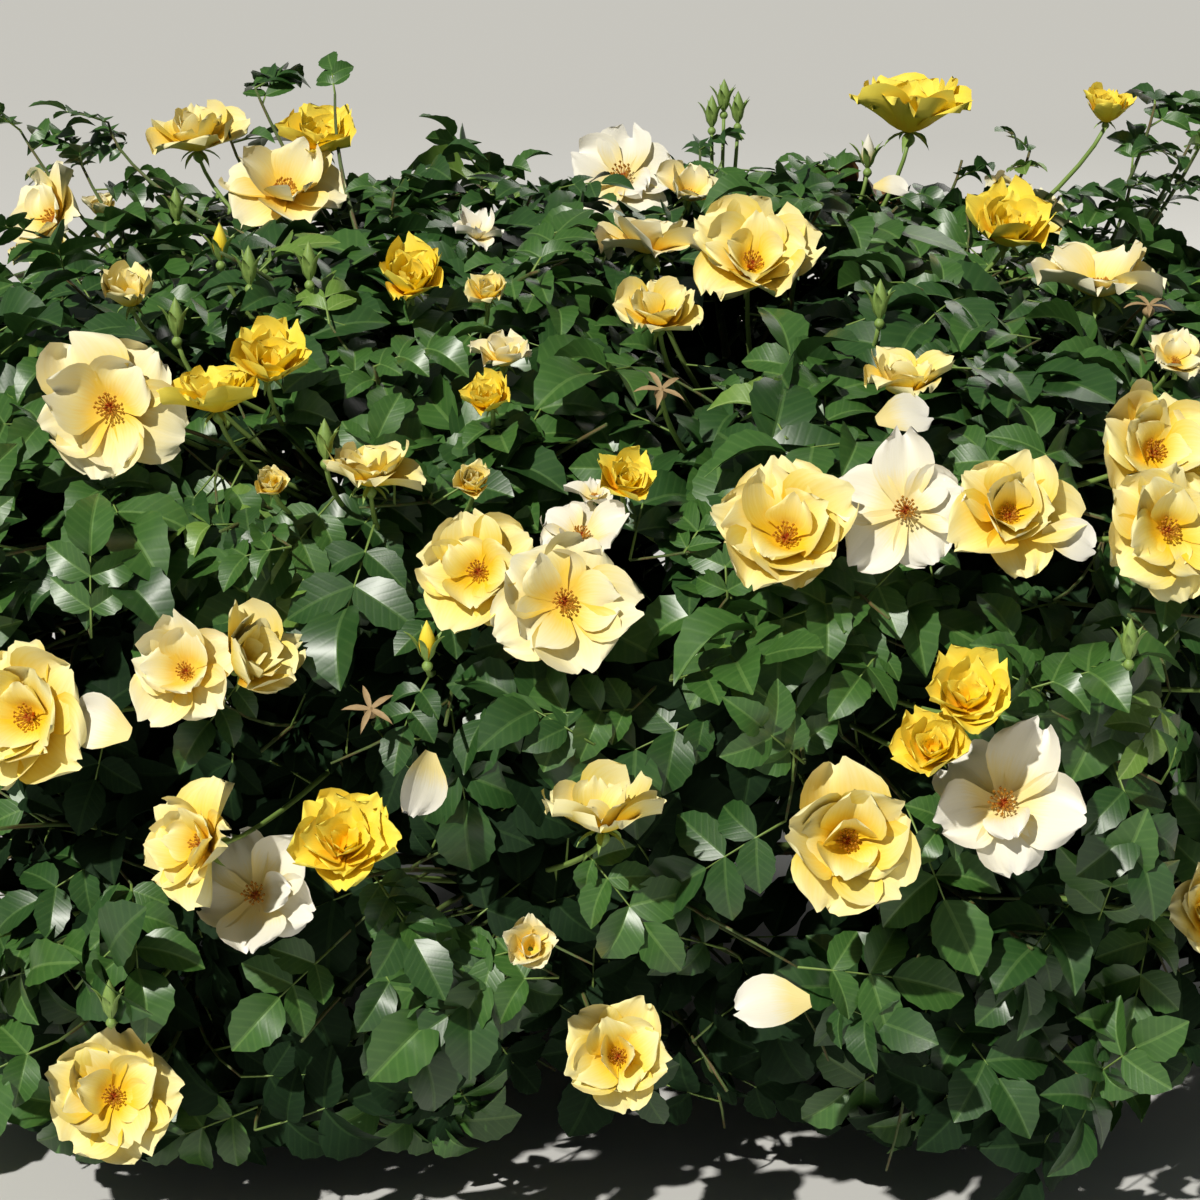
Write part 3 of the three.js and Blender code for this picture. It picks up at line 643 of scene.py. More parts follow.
# Colours are red, green and blue from 0 to 255.
LEAF_COLOURS = {
    # Near-black green, dull leaves: painted shade for leaves deep in the crown and near the ground.
    "deep": ((18, 36, 19), (28, 52, 26), (44, 68, 36), 0.7, 0, 0.12),
    "dark": ((34, 68, 30), (54, 92, 40), (86, 120, 62)),
    "mid": ((48, 86, 36), (74, 116, 48), (108, 144, 74)),
    "light": ((94, 130, 50), (124, 158, 70), (154, 180, 104)),
    "bronze": ((112, 76, 46), (142, 102, 60), (170, 126, 84)),
}
PETAL_COLOURS = {
    "fresh": ((255, 206, 38), (255, 225, 60), (255, 235, 96)),
    "open": ((246, 204, 44), (248, 225, 110), (252, 242, 182)),
    "fading": ((247, 210, 82), (248, 231, 154), (248, 242, 208)),
    "old": ((244, 226, 156), (243, 238, 216), (243, 240, 229)),
}
leaf_kinds = {name: leaf_material("leaf_" + name, *looks) for name, looks in LEAF_COLOURS.items()}
petal_kinds = {age: petal_material("petal_" + age, *looks) for age, looks in PETAL_COLOURS.items()}
old_bark = stem_material("old_bark", (78, 62, 46), (128, 108, 82), (96, 98, 60), 0.75)
green_bark = stem_material("green_bark", (70, 92, 44), (112, 132, 70), (120, 80, 56))
sepal_green = plain_material("sepal_green", (106, 142, 62), (158, 184, 98))
anther_gold = plain_material("anther_gold", (178, 112, 20), (226, 166, 48), 0.7)
stigma_red = plain_material("stigma_red", (170, 66, 24), (216, 120, 44), 0.6)
spent_tan = plain_material("spent_tan", (150, 122, 84), (190, 164, 120), 0.7)

bulk = np.random.RandomState(GROWTH_SEED)


# Foot, canes and boughs, with ridged bark and prickles.
LIMB_ROWS, LIMB_SIDES = 70, 18
FOOT_ROWS, FOOT_SIDES = 40, 40
WIDEST_FOOT = 1.02  # its swellings stay close to the profile
PRICKLE_LENGTH, LIMB_PRICKLES, STALK_PRICKLES = (4.5, 7.5), 14, 3


def bark_tube(curve, radii, seed):
    """A limb with long ridges, swollen at its joints."""
    t = unit_steps(LIMB_ROWS)
    points = bezier(curve, t)
    verts, faces, uv = tubes(points[None], taper(radii, t)[None], LIMB_SIDES)
    centre = np.repeat(points, LIMB_SIDES, axis=0)
    angle = uv[:, 1] * 2 * math.pi
    ridge = 0.05 * np.sin(5 * angle + 9 * uv[:, 0] + seed) + 0.03 * np.sin(9 * angle - 21 * uv[:, 0])
    joint = 0.09 * np.exp(-(((uv[:, 0] * 6 + seed * 0.37) % 1 - 0.5) / 0.07) ** 2)
    return centre + (verts[0] - centre) * (1 + ridge + joint)[:, None], faces, uv


def prickle(root, out, along, length):
    """A flat-based thorn that hooks back towards the foot."""
    side = np.cross(out, along)
    ring = [root + along * length * 0.5 * a + side * length * 0.14 * b
            for a, b in ((1, 0), (0, 1), (-0.9, 0), (0, -1))]
    tip = root + out * length - along * length * 0.45
    return np.array(ring + [tip]), np.array([(0, 1, 4), (1, 2, 4), (2, 3, 4), (3, 0, 4)])


def add_prickles(heap, curve, radii, count):
    for i in range(count):
        t = (i + bulk.rand()) / count * 0.94 + 0.04
        here, ahead = bezier(curve, [t, min(t + 0.02, 1)])
        along = unit(ahead - here)
        out = unit(np.cross(along, bulk.normal(size=3)))
        root = here + out * taper(radii, t) * 0.8
        verts, faces = prickle(root, out, along, bulk.uniform(*PRICKLE_LENGTH))
        heap.add(verts, faces, np.full((5, 2), 0.5))


def make_limbs():
    for i, (name, curve, radii, slot) in enumerate(limbs):
        heap = Heap()
        heap.add(*bark_tube(curve, radii, i))
        add_prickles(heap, curve, radii, LIMB_PRICKLES)
        material = old_bark if slot == "old_bark" else green_bark
        make_piece(f"bark_{name}", heap, material, [name])


def make_foot():
    radius, height = np.array(FOOT_PROFILE, float).T
    s = unit_steps(FOOT_ROWS)
    steps = np.r_[0, np.cumsum(np.hypot(np.diff(radius), np.diff(height)))]
    r = np.interp(s * steps[-1], steps, radius)
    z = np.interp(s * steps[-1], steps, height)
    angle = round_angles(FOOT_SIDES)
    bulge = 1 + np.outer(1 - s, 0.09 * np.sin(5 * angle + 0.6)) + 0.03 * np.sin(11 * angle)
    ring = r[:, None] * np.minimum(bulge, WIDEST_FOOT)
    verts = np.stack([ring * np.cos(angle), ring * np.sin(angle), z[:, None] + 0 * ring], axis=2)
    faces = np.concatenate([grid_faces(FOOT_ROWS, FOOT_SIDES, closed=True), fan(FOOT_SIDES)])
    heap = Heap()
    heap.add(verts.reshape(-1, 3), faces, grid_map(s, FOOT_SIDES))
    make_piece("bark_foot", heap, old_bark, ["foot"])


# Twigs by the source's rule: each leaves its mass's stem at a branching angle and ends inside
# the crown's surface. Finer side twigs leave it in turn.
SHOOTS, LOWEST_LIFT = 240, -0.9
SHOOT_INSETS = (14, 100)
LONG_INSET = -14  # every fifth shoot stands out from the crown
INNER_SHOOTS, LOWEST_INNER_LIFT, INNER_INSET = 124, -0.8, 175  # shoots that fill the shade inside
SHOOT_ARCH, SHOOT_SWAY = 0.1, 0.05
SIDE_PLACES = (0.42, 0.58, 0.73, 0.86)
SIDE_LENGTH = (52, 92)
SIDE_REACH = 0.99
TWIG_FROM_LIMB, TWIG_FROM_BLOOM = 8, 3
SHOOT_RADII, SIDE_RADII, OUTER_RADII, STALK_RADII = (2.3, 1.2), (1.3, 0.8), (2.4, 1.0), (2.2, 1.5)
STALK_BEND, LONGEST_BEND, LEAST_OUTWARD = 0.4, 70, 0.3


def crown_insets(count):
    inset = bulk.uniform(*SHOOT_INSETS, count)
    inset[::2] = SHOOT_INSETS[0]
    inset[::5] = LONG_INSET
    return inset


def twigs_fit(samples):
    """Tests points along twigs: clear of limbs and blooms, and well above the ground."""
    clear = clear_of_limbs(samples, TWIG_FROM_LIMB) & clear_of_blooms(samples, TWIG_FROM_BLOOM, 0)
    return np.all(clear, axis=1) & (samples[:, :, 2].min(axis=1) > LOWEST_TWIG)


def main_twigs(places, inset):
    """Curves of the shoots as (n, 3, 3) controls, and which are long."""
    targets = places - outward_normal(places) * inset[:, None]
    mass = nearest_mass(targets)
    curves = np.zeros((len(targets), 3, 3))
    todo = np.ones(len(targets), bool)
    for angle in BRANCH_ANGLES:
        start = stem_start(mass, targets, angle)
        length = np.linalg.norm(targets - start, axis=1)[:, None]
        bend = (start + targets) / 2 + UP * SHOOT_ARCH * length
        bend = bend + bulk.normal(size=start.shape) * SHOOT_SWAY * length
        tried = np.stack([start, bend, targets], axis=1)
        fits = twigs_fit(bezier(tried, unit_steps(9))[:, 2:])
        chosen = todo & fits
        curves[chosen] = tried[chosen]
        todo &= ~fits
    return curves[~todo], (inset == LONG_INSET)[~todo]


def side_twigs(curves):
    """Finer twigs that leave each shoot to either side of it in turn."""
    made = []
    for i, place in enumerate(SIDE_PLACES):
        here, ahead = np.moveaxis(bezier(curves, [place, place + 0.02]), 1, 0)
        along = unit(ahead - here)
        outward = outward_normal(here)
        side = unit(np.cross(along, outward)) * (1 if i % 2 else -1)
        way = unit(along * 0.5 + side + outward * bulk.uniform(-0.1, 0.7, (len(here), 1)))
        length = bulk.uniform(*SIDE_LENGTH, (len(here), 1))
        end = here + way * length
        bend = here + (along + way) * 0.28 * length
        made.append(np.stack([here, bend, end], axis=1))
    curves = np.concatenate(made)
    samples = bezier(curves, unit_steps(5))[:, 1:]
    return curves[twigs_fit(samples) & np.all(crown_share(samples) < SIDE_REACH, axis=1)]


def stalk_curve(base, facing):
    """A stalk from the nearest mass's stem, which arrives at its end along a given way."""
    mass = nearest_mass(base)
    start = stem_start(mass, base, BRANCH_ANGLES[0])
    outward = max(LEAST_OUTWARD, facing @ outward_normal(base))
    bend = base - facing * outward * min(LONGEST_BEND, STALK_BEND * np.linalg.norm(base - start))
    return [start, bend * 0.75 + (start * 0.4 + base * 0.6) * 0.25, base]


def stalk_curves():
    """A stalk for each bloom and bud."""
    made = []
    for b in blooms:
        if b["age"] == "petal":
            continue
        size = 0.5 * BUD_LENGTH if "bud" in b["age"] else bloom_depth(b["across"], b["cup"])
        made.append(stalk_curve(b["centre"] - b["facing"] * size, b["facing"]))
    return np.array(made)


def placed_shoots(places, way, sway, lowest):
    """Shoots that end at places in the picture, each swayed from a common way."""
    made = []
    for i, (px, py) in enumerate(places):
        lean = unit(way + sway * np.array([math.sin(i * 2.4), math.cos(i * 2.4), 0]))
        end = place_in_view(px, py, 1)
        end[2] = max(end[2], lowest)
        made.append(stalk_curve(end, lean))
    return np.array(made)


def make_twigs(shoots, sides, stalks, outer):
    heap, stalk_heap = Heap(), Heap()
    stems = np.stack([stem_starts, (stem_starts + stem_ends) / 2, stem_ends], axis=1)
    for into, curves, radii, around, rows in (
        (heap, stems, STEM_RADII, 8, 10),
        (heap, shoots, SHOOT_RADII, 6, 10),
        (heap, sides, SIDE_RADII, 5, 5),
        (heap, outer, OUTER_RADII, 6, 12),
        (stalk_heap, stalks, STALK_RADII, 6, 12),
    ):
        t = unit_steps(rows)
        widths = np.broadcast_to(taper(radii, t), (len(curves), rows))
        into.add(*tubes(bezier(curves, t), widths, around))
    for curve in list(shoots[::2]) + list(stalks[::2]):
        add_prickles(stalk_heap, curve, (2.2, 1.4), STALK_PRICKLES)
    make_piece("twigs", heap, green_bark)
    make_piece("bloom_stalks", stalk_heap, sepal_green)


# Leaves: a stalk with five or seven toothed leaflets, by the source's rule.
LEAF_LENGTH = (74, 134)
LEAF_TURNS, LEAF_TURN, LEAF_SWAY = 6, 55, 12
CROWN_REACH, LONG_REACH = 1.075, 1.13
LEAF_FROM_LIMB, LEAF_FROM_BLOOM, LEAF_FROM_STALK = 9, 4, 15
BARE_STALKS = len(FRONT_BLOOMS)  # their stalks show
DEEP_SHARE, THIN_BELOW, THIN_SHARE = 0.8, 330, 0.5  # the lower leaves stand further apart
SEVEN_SHARE = 0.3  # leaves of seven leaflets
# Above this height fewer leaves are dark green or take the painted shade: painted light on the top of the
# bush.
LIT_TOP_ABOVE, HIGH_DARK, LOW_DARK, HIGH_SHADE_DEPTH, LOW_SHADE_DEPTH = 400, 0.36, 0.54, 0.8, 0.9
MID_SHARE, YOUNG_SHARE, YOUNG_DEPTH, YOUNG_SIZE = 0.95, 0.91, 0.97, 0.8
LOWEST_LIGHT = 300  # the young leaves are high on the bush
# Below this height most leaves take the near-black green of painted shade.
SHADED_BELOW, SHADED_SHARE = 130, 0.7
BRONZE_SHARE, BRONZE_DEPTH = 0.018, 0.95
LEAVES_A_PIECE = 900
# For each kind of twig: places of its leaves, their pitches in degrees, their size and reach.
LEAF_PLANS = (
    ((1.0, 0.87, 0.74, 0.6), (46, 26, 12, 4), 1.0, CROWN_REACH),
    ((1.0, 0.9, 0.79, 0.68, 0.56), (56, 40, 24, 12, 4), 0.8, LONG_REACH),
    ((1.0, 0.62), (30, 10), 0.9, CROWN_REACH),
    ((1.0, 0.86, 0.7), (30, 12, 2), 1.1, CROWN_REACH),
    ((0.72, 0.5), (16, 6), 0.85, CROWN_REACH),
    ((1.0, 0.9, 0.8, 0.7), (40, 30, 20, 12), 0.55, HIGH_REACH),
    ((1.0, 0.9, 0.8, 0.7), (34, 20, 10, 4), 0.95, LOW_REACH),
)
LEAFLETS = (  # place along the leaf stalk, side, length as a share of the leaf
    (1.0, 0, 0.46), (0.76, 1, 0.4), (0.76, -1, 0.4), (0.36, 1, 0.33), (0.36, -1, 0.33),
)
EXTRA_PAIR = ((0.08, 1, 0.26), (0.08, -1, 0.26))
LEAFLET_HALF = 0.34
LEAFLET_SPREAD = 62
STALK_SHARE = 0.56


def leaflet_shape():
    """A toothed oval blade, 1 long: arched from base to tip, and creased along the midrib."""
    rows = 11
    along = unit_steps(rows)
    half = LEAFLET_HALF * np.sin(math.pi * along**0.88) ** 0.66
    half[0], half[-1] = 0.02, 0.004
    teeth = 1 + 0.04 * (-1.0) ** np.arange(rows)
    verts, uv = [], []
    for u, h, tooth in zip(along, half, teeth):
        arch = 0.10 * math.sin(math.pi * u) - 0.16 * u * u
        for side in (-1, 0, 0, 1):
            width = h * tooth * side
            verts.append((u + 0.02 * abs(side) * (tooth - 1) * 8, width, arch + 0.42 * abs(width)))
            uv.append((u, 0.5 + 0.5 * side * min(1, h / LEAFLET_HALF)))
    halves = grid_faces(rows, 4).reshape(rows - 1, 3, 2, 3)[:, [0, 2], :, ::-1]
    return np.array(verts), halves.reshape(-1, 3), np.array(uv)


def leaf_frames(root, outward, turn, pitch, jitter):
    ease = np.where(np.abs(outward[:, 2:3]) < 0.9, UP, np.array([0, 1.0, 0]))
    east = unit(np.cross(ease, outward))
    north = np.cross(outward, east)
    c, s = np.cos(turn)[:, None], np.sin(turn)[:, None]
    along = unit((east * c + north * s) * np.cos(pitch)[:, None] + outward * np.sin(pitch)[:, None])
    up = outward + UP * 0.45 + jitter
    normal = unit(up - along * dot(up, along)[:, None])
    return along, np.cross(normal, along), normal


def leaf_fits(root, along, across, length, reach):
    """Tests a leaf's tip, its sides and its middle."""
    spots = ((1.0, 0), (0.7, 0.34), (0.7, -0.34), (0.45, 0.3), (0.45, -0.3), (0.5, 0), (0.85, 0))
    points = np.stack(
        [root + (along * a + across * b) * length[:, None] for a, b in spots], axis=1
    )
    fits = np.all(crown_share(points) < reach, axis=1)
    fits &= np.all((points > LEAF_BOX[0]) & (points < LEAF_BOX[1]), axis=(1, 2))
    clear = clear_of_blooms(points, LEAF_FROM_BLOOM, 0.5) & clear_of_limbs(points, LEAF_FROM_LIMB)
    fits &= np.all(clear, axis=1)
    shown = np.nonzero(fits)[0]
    fits[shown] = np.all(clear_of_rods(points[shown], *bared_stalks, LEAF_FROM_STALK), axis=1)
    return fits


def grow_leaves(curves, places, pitches, size, reach):
    """Leaves at the given places of each twig, turned aside where they would not fit."""
    made = []
    first = bulk.uniform(0, 360, len(curves))
    for i, (place, pitch) in enumerate(zip(places, pitches)):
        root = bezier(curves, [place])[:, 0]
        outward = unit(outward_normal(root) + UP * 0.35)
        length = bulk.uniform(*LEAF_LENGTH, len(root)) * size
        todo = np.arange(len(root))
        for step in range(LEAF_TURNS):
            if not len(todo):
                break
            aside = (1 if step % 2 else -1) * ((step + 1) // 2) * LEAF_TURN
            sway = bulk.uniform(-LEAF_SWAY, LEAF_SWAY, len(todo))
            turn = rad(first[todo] + i * GOLDEN_ANGLE + aside + sway)
            lean = rad(pitch - 7 * step + bulk.uniform(-LEAF_SWAY, LEAF_SWAY, len(todo)))
            jitter = bulk.normal(size=(len(todo), 3)) * 0.28
            along, across, normal = leaf_frames(root[todo], outward[todo], turn, lean, jitter)
            fits = leaf_fits(root[todo], along, across, length[todo], reach)
            good = todo[fits]
            made.append((root[good], along[fits], across[fits], normal[fits], length[good], outward[good]))
            todo = todo[~fits]
    return [np.concatenate(parts) for parts in zip(*made)]


def add_leaf_stalks(heap, root, along, across, normal, length, droop):
    t = np.array([0, 0.4, 0.75, 1.0])
    run = (length * STALK_SHARE)[:, None]
    points = (
        root[:, None]
        + along[:, None] * (run * t)[..., None]
        - normal[:, None] * (run * droop[:, None] * t**2)[..., None]
    )
    heap.add(*tubes(points, np.broadcast_to(1.0 - 0.45 * t, (len(root), 4)), 3))


def add_leaflets(heap, root, along, across, normal, length, droop, leaflets):
    shape, faces, uv = leaflet_shape()
    for place, side, share in leaflets:
        n = len(root)
        run = length * STALK_SHARE * place
        base = root + along * run[:, None] - normal * (run * droop * place)[:, None]
        angle = rad(side * LEAFLET_SPREAD + bulk.uniform(-9, 9, n))
        way = along * np.cos(angle)[:, None] + across * np.sin(angle)[:, None]
        sink = droop * place * 1.6 + bulk.uniform(-0.1, 0.22, n)
        way = unit(way - normal * sink[:, None])
        face = normal + bulk.normal(size=(n, 3)) * 0.16
        face = unit(face - way * dot(face, way)[:, None])
        wide = np.cross(face, way)
        size = (length * share * bulk.uniform(0.88, 1.12, n))[:, None, None]
        width = bulk.uniform(0.9, 1.12, n)[:, None, None]
        curl = bulk.uniform(0.3, 1.7, n)[:, None, None]
        verts = (
            base[:, None]
            + way[:, None] * shape[None, :, 0:1] * size
            + wide[:, None] * shape[None, :, 1:2] * size * width
            + face[:, None] * shape[None, :, 2:3] * size * curl
        )
        verts[..., 2] = np.maximum(verts[..., 2], LEAF_ON_SOIL)
        heap.add(verts, faces, uv)


def bared(stalks):
    """The outer half of the front stalks, and the space between it and the eye, as rods."""
    points = bezier(stalks[:BARE_STALKS], [0.5, 0.74, 0.98])
    starts, ends = points[:, :-1].reshape(-1, 3), points[:, 1:].reshape(-1, 3)
    to_eye = unit(EYE - starts)
    shifts = (0, 25, 50)
    return (np.concatenate([starts + to_eye * d for d in shifts]),
            np.concatenate([ends + to_eye * d for d in shifts]))


def make_leaves(twig_kinds):
    groups = [grow_leaves(curves, *plan) for curves, plan in zip(twig_kinds, LEAF_PLANS)]
    found = [np.concatenate(p) for p in zip(*groups)]
    low = found[0][:, 2] < THIN_BELOW
    thinned = np.where(crown_share(found[0]) < DEEP_SHARE, 1, THIN_SHARE)
    kept = ~low | (bulk.rand(len(low)) < thinned)
    root, along, across, normal, length, outward = [part[kept] for part in found]
    n, z = len(root), root[:, 2]
    droop = bulk.uniform(0.02, 0.24, n)
    seven = bulk.rand(n) < SEVEN_SHARE
    depth = crown_share(root + along * length[:, None] * 0.6)
    lucky = bulk.rand(n)
    # Fewer dark leaves high on the bush: painted light on its top.
    few = np.where(z > LIT_TOP_ABOVE, HIGH_DARK, LOW_DARK)
    kind = np.where(lucky < few, "dark", np.where(lucky < MID_SHARE, "mid", "light")).astype("U6")
    # Leaves deep inside the crown take the near-black green of painted shade.
    kind[depth < np.where(z > LIT_TOP_ABOVE, HIGH_SHADE_DEPTH, LOW_SHADE_DEPTH)] = "deep"
    kind[(depth > YOUNG_DEPTH) & (lucky > YOUNG_SHARE)] = "light"
    kind[(kind == "light") & (z < LOWEST_LIGHT)] = "mid"
    # Most leaves near the ground take it too: more painted shade.
    kind[(z < SHADED_BELOW) & (lucky < SHADED_SHARE)] = "deep"
    kind[(depth > BRONZE_DEPTH) & (lucky < BRONZE_SHARE)] = "bronze"
    length = np.where(kind == "light", YOUNG_SIZE, 1) * length
    parts = (root, along, across, normal, length, droop)
    stalk_heap = Heap()
    add_leaf_stalks(stalk_heap, *parts)
    make_piece("leaf_stalks", stalk_heap, sepal_green)
    for name, material in leaf_kinds.items():
        chosen = np.nonzero(kind == name)[0]
        pieces = max(1, math.ceil(len(chosen) / LEAVES_A_PIECE))
        for part, some in enumerate(np.array_split(chosen, pieces)):
            heap = Heap()
            for which, leaflets in ((some, LEAFLETS), (some[seven[some]], EXTRA_PAIR)):
                add_leaflets(heap, *[a[which] for a in parts], leaflets)
            make_piece(f"leaves_{name}_{part + 1}", heap, material)


# Blooms: whorls of petals round a hip, with stamens, stigmas and sepals.
WHORLS = {  # petals in each whorl, its share of the length, and how much more it stands up
    "fresh": ((5, 1.0, 0), (5, 0.82, 14), (4, 0.62, 26), (3, 0.44, 34)),
    "open": ((5, 1.0, 0), (4, 0.8, 20), (2, 0.6, 38)),
    "fading": ((5, 1.0, 0), (3, 0.78, 22)),
    "old": ((5, 1.0, 0), (1, 0.7, 30)),
}
PETAL_ROWS, PETAL_COLUMNS = 9, 11
PETAL_LENGTH, CUP_LENGTH, CUP_WIDTH = 0.47, 0.4, 0.15  # as shares of the bloom's width
FLAT_RISE, FRESH_RISE, CUP_RISE = 8, 44, 58
CLOSED_CUP = 0.7  # from here on the petals hide the stamens
STAMENS, FRESH_STAMENS, STIGMAS = 24, 16, 9
STAMEN_SPREAD, STAMEN_TALL, STIGMA_SPREAD, STIGMA_TALL = 6.8, (6.5, 10), 2.4, 6.5
SEPALS, SEPAL_ROWS, SEPAL_WIDTH = 5, 6, 0.3
BLOOM_SEPAL, SPENT_SEPAL, BUD_SEPAL, SEPAL_GAP = 0.26, 17, 0.72, 1.4
SPENT_HIP, BUD_HIP = (11, 4.2), (9, 3.4)
BUD_BODY, BUD_RADIUS = 0.86, 0.33  # as shares of the bud's length and width
# For each age: width, evenness of the lengths, range of the backward curl and sway of the angle.
PETAL_FORMS = {
    "fresh": (0.62, 0.92, (5, 30), 8),
    "open": (0.6, 0.84, (5, 50), 15),
    "fading": (0.58, 0.8, (0, 56), 18),
    "old": (0.46, 0.74, (-10, 60), 22),
}


def petal_mesh(length, width, rise, curl, hollow, ruffle, phase, twist=0.0,
               rows=PETAL_ROWS, columns=PETAL_COLUMNS):
    """A broad notched petal: it rises from a bowl by the angle rise, then bends back by curl."""
    u = unit_steps(rows)
    u = 0.5 * u + 0.5 * np.sin(u * math.pi / 2)
    v = np.linspace(-1, 1, columns)
    swell = np.minimum(1, 0.24 + 0.76 * np.sin(np.minimum(u / 0.6, 1) * math.pi / 2) ** 1.2)
    rounding = np.sqrt(np.maximum(0.0, 1 - (np.maximum(0, u - 0.6) / 0.43) ** 2))
    half = 0.5 * width * swell * rounding
    opening = np.minimum(1, u / 0.45)
    angle = rad(rise * (0.2 + 0.8 * opening) - curl * np.maximum(0, u - 0.3) ** 1.3 * 1.5)
    step = np.diff(u, prepend=0) * length
    out, height = np.cumsum(np.cos(angle) * step), np.cumsum(np.sin(angle) * step)
    U, V = np.meshgrid(u, v, indexing="ij")
    notch = 1 + 0.1 * (1 - V**2) * U**4 - 0.07 * np.exp(-((V / 0.3) ** 2)) * U**6
    notch += 0.045 * np.sin(V * 5 + phase) * U**3 + 0.02 * np.sin(V * 10 + 3 * phase) * U**6
    side = half[:, None] * V
    bow = hollow * V**2 * half[:, None]
    wave = ruffle * U**2 * np.sin(V * 4.2 + phase) * np.abs(V) ** 0.5
    wave += 0.35 * ruffle * U**3 * np.sin(V * 8 + 2 * phase + 2 * U) + twist * side * U
    x = out[:, None] * notch - bow * np.sin(angle)[:, None]
    z = height[:, None] * notch + bow * np.cos(angle)[:, None] + wave
    uv = np.stack([U, (V + 1) / 2], axis=2)
    return np.stack([x, side, z], axis=2).reshape(-1, 3), uv.reshape(-1, 2)


def framed(b):
    """The bloom's own axes: two across its face, and the way it faces."""
    right = unit(np.cross(b["facing"], UP + np.array([1e-3, 0, 0])))
    return right, np.cross(b["facing"], right), b["facing"]


def placed(points, origin, axes, turn=0.0):
    """Points turned about the bloom's middle line, then set on its axes."""
    c, s = math.cos(turn), math.sin(turn)
    x, y, z = points[:, 0:1], points[:, 1:2], points[:, 2:3]
    return origin + (x * c - y * s) * axes[0] + (x * s + y * c) * axes[1] + z * axes[2]


def add_spindle(heap, axes, origin, shape, shift=(0, 0, 0), turn=0.0):
    """A pointed oval that starts at the origin, or shifted from it."""
    length, radius, rows, sides, *power = shape
    t = unit_steps(rows)
    r = radius * np.sin(math.pi * t ** (power[0] if power else 1.0)) + 0.02 * radius
    angle = round_angles(sides)
    ring = np.stack([np.cos(angle), np.sin(angle)], axis=1)
    verts = np.concatenate([np.c_[ring * w, np.full(sides, h * length)] for w, h in zip(r, t)])
    faces = grid_faces(rows, sides, closed=True)
    heap.add(placed(verts + np.array(shift), origin, axes, turn), faces, grid_map(t, sides))


petal_faces = grid_faces(PETAL_ROWS, PETAL_COLUMNS)
sepal_faces = grid_faces(SEPAL_ROWS, 3)
petal_heaps = {age: Heap() for age in petal_kinds}
green_heap, anther_heap, stigma_heap, spent_heap = Heap(), Heap(), Heap(), Heap()


def add_petals(b, axes, origin):
    age, across, cup = b["age"], b["across"], b["cup"]
    length = PETAL_LENGTH * across * (1 + CUP_LENGTH * cup)
    base_rise = FLAT_RISE + (FRESH_RISE if age == "fresh" else CUP_RISE) * cup
    broad, even, curls, sway = PETAL_FORMS[age]
    width = broad * across * (1 + CUP_WIDTH * cup)
    for whorl, (count, share, stand) in enumerate(WHORLS[age]):
        first = bulk.uniform(0, 2 * math.pi)
        for i in range(count):
            rise = base_rise + stand * (0.6 + 0.6 * cup) + bulk.uniform(-sway, sway)
            curl = bulk.uniform(*curls) * (1.15 - 0.5 * cup)
            long = length * share * bulk.uniform(even, 1.06)
            wide = width * share * bulk.uniform(0.88, 1.08)
            hollow = (0.28 + 0.45 * cup) * bulk.uniform(0.6, 1.3)
            ruffle = across * share * bulk.uniform(0.05, 0.12)
            phase, twist = bulk.uniform(0, 6.28), bulk.normal() * 0.22
            points, uv = petal_mesh(long, wide, rise, curl, hollow, ruffle, phase, twist)
            points[:, 0] += 1.5
            points[:, 2] += whorl * 0.8
            angle = first + 2 * math.pi * i / count + bulk.uniform(-0.13, 0.13)
            petal_heaps[age].add(placed(points, origin, axes, angle), petal_faces, uv)


def add_loose_petal(b, axes):
    points, uv = petal_mesh(b["across"], 0.86 * b["across"], 6, 34, 0.3, 2, b["spin"])
    points[:, 0] -= b["across"] / 2
    petal_heaps["old"].add(placed(points, b["centre"], axes, b["spin"]), petal_faces, uv)


def add_centre(b, axes, origin):
    """Stamens round a tuft of stigmas."""
    size = b["across"] / 80
    count = STAMENS if b["age"] != "fresh" else FRESH_STAMENS
    t = unit_steps(3)
    for i in range(count):
        angle = i * rad(GOLDEN_ANGLE)
        out = (0.25 + 0.75 * math.sqrt(i / count)) * STAMEN_SPREAD * size
        tall = bulk.uniform(*STAMEN_TALL) * size
        line = np.stack([out * t, 0 * t, 1 + tall * t**0.8], axis=1)
        line = placed(line, origin, axes, angle)
        anther_heap.add(*tubes(line[None], np.full((1, 3), 0.35), 3))
        add_spindle(anther_heap, axes, line[-1] - axes[2], (3 * size, size, 3, 4))
    for i in range(STIGMAS):
        angle, out = i * rad(GOLDEN_ANGLE), STIGMA_SPREAD * size * math.sqrt(i / STIGMAS)
        shape = (STIGMA_TALL * size, 1.1 * size, 5, 5)
        add_spindle(stigma_heap, axes, origin, shape, (out, 0, 0.5), angle)


def add_sepals(heap, axes, origin, length, rise, gap=0.0):
    """Narrow pointed sepals that bend back. A gap keeps them off a bud's body."""
    width = length * SEPAL_WIDTH
    points, uv = petal_mesh(length, width, rise, 40, 0.5, 0.3, 1.0, 0.0, SEPAL_ROWS, 3)
    points[:, 0] += gap
    points[:, 1] *= np.repeat(np.linspace(1.25, 0.12, SEPAL_ROWS), 3)
    for i in range(SEPALS):
        heap.add(placed(points, origin, axes, 2 * math.pi * i / SEPALS), sepal_faces, uv)


def add_hip(heap, axes, origin, length, radius):
    add_spindle(heap, axes, origin, (length, radius, 8, 9), (0, 0, -0.86 * length))


def add_bud(b, axes, origin):
    colour = b["age"].split("_")[0]
    heap = {"green": green_heap, "yellow": petal_heaps["fresh"], "white": petal_heaps["old"]}[colour]
    add_spindle(heap, axes, origin, (BUD_LENGTH * BUD_BODY, BUD_WIDTH * BUD_RADIUS, 9, 12, 0.8))
    rise = 86 if colour == "green" else 78
    add_sepals(green_heap, axes, origin, BUD_LENGTH * BUD_SEPAL, rise, SEPAL_GAP)
    add_hip(green_heap, axes, origin, *BUD_HIP)


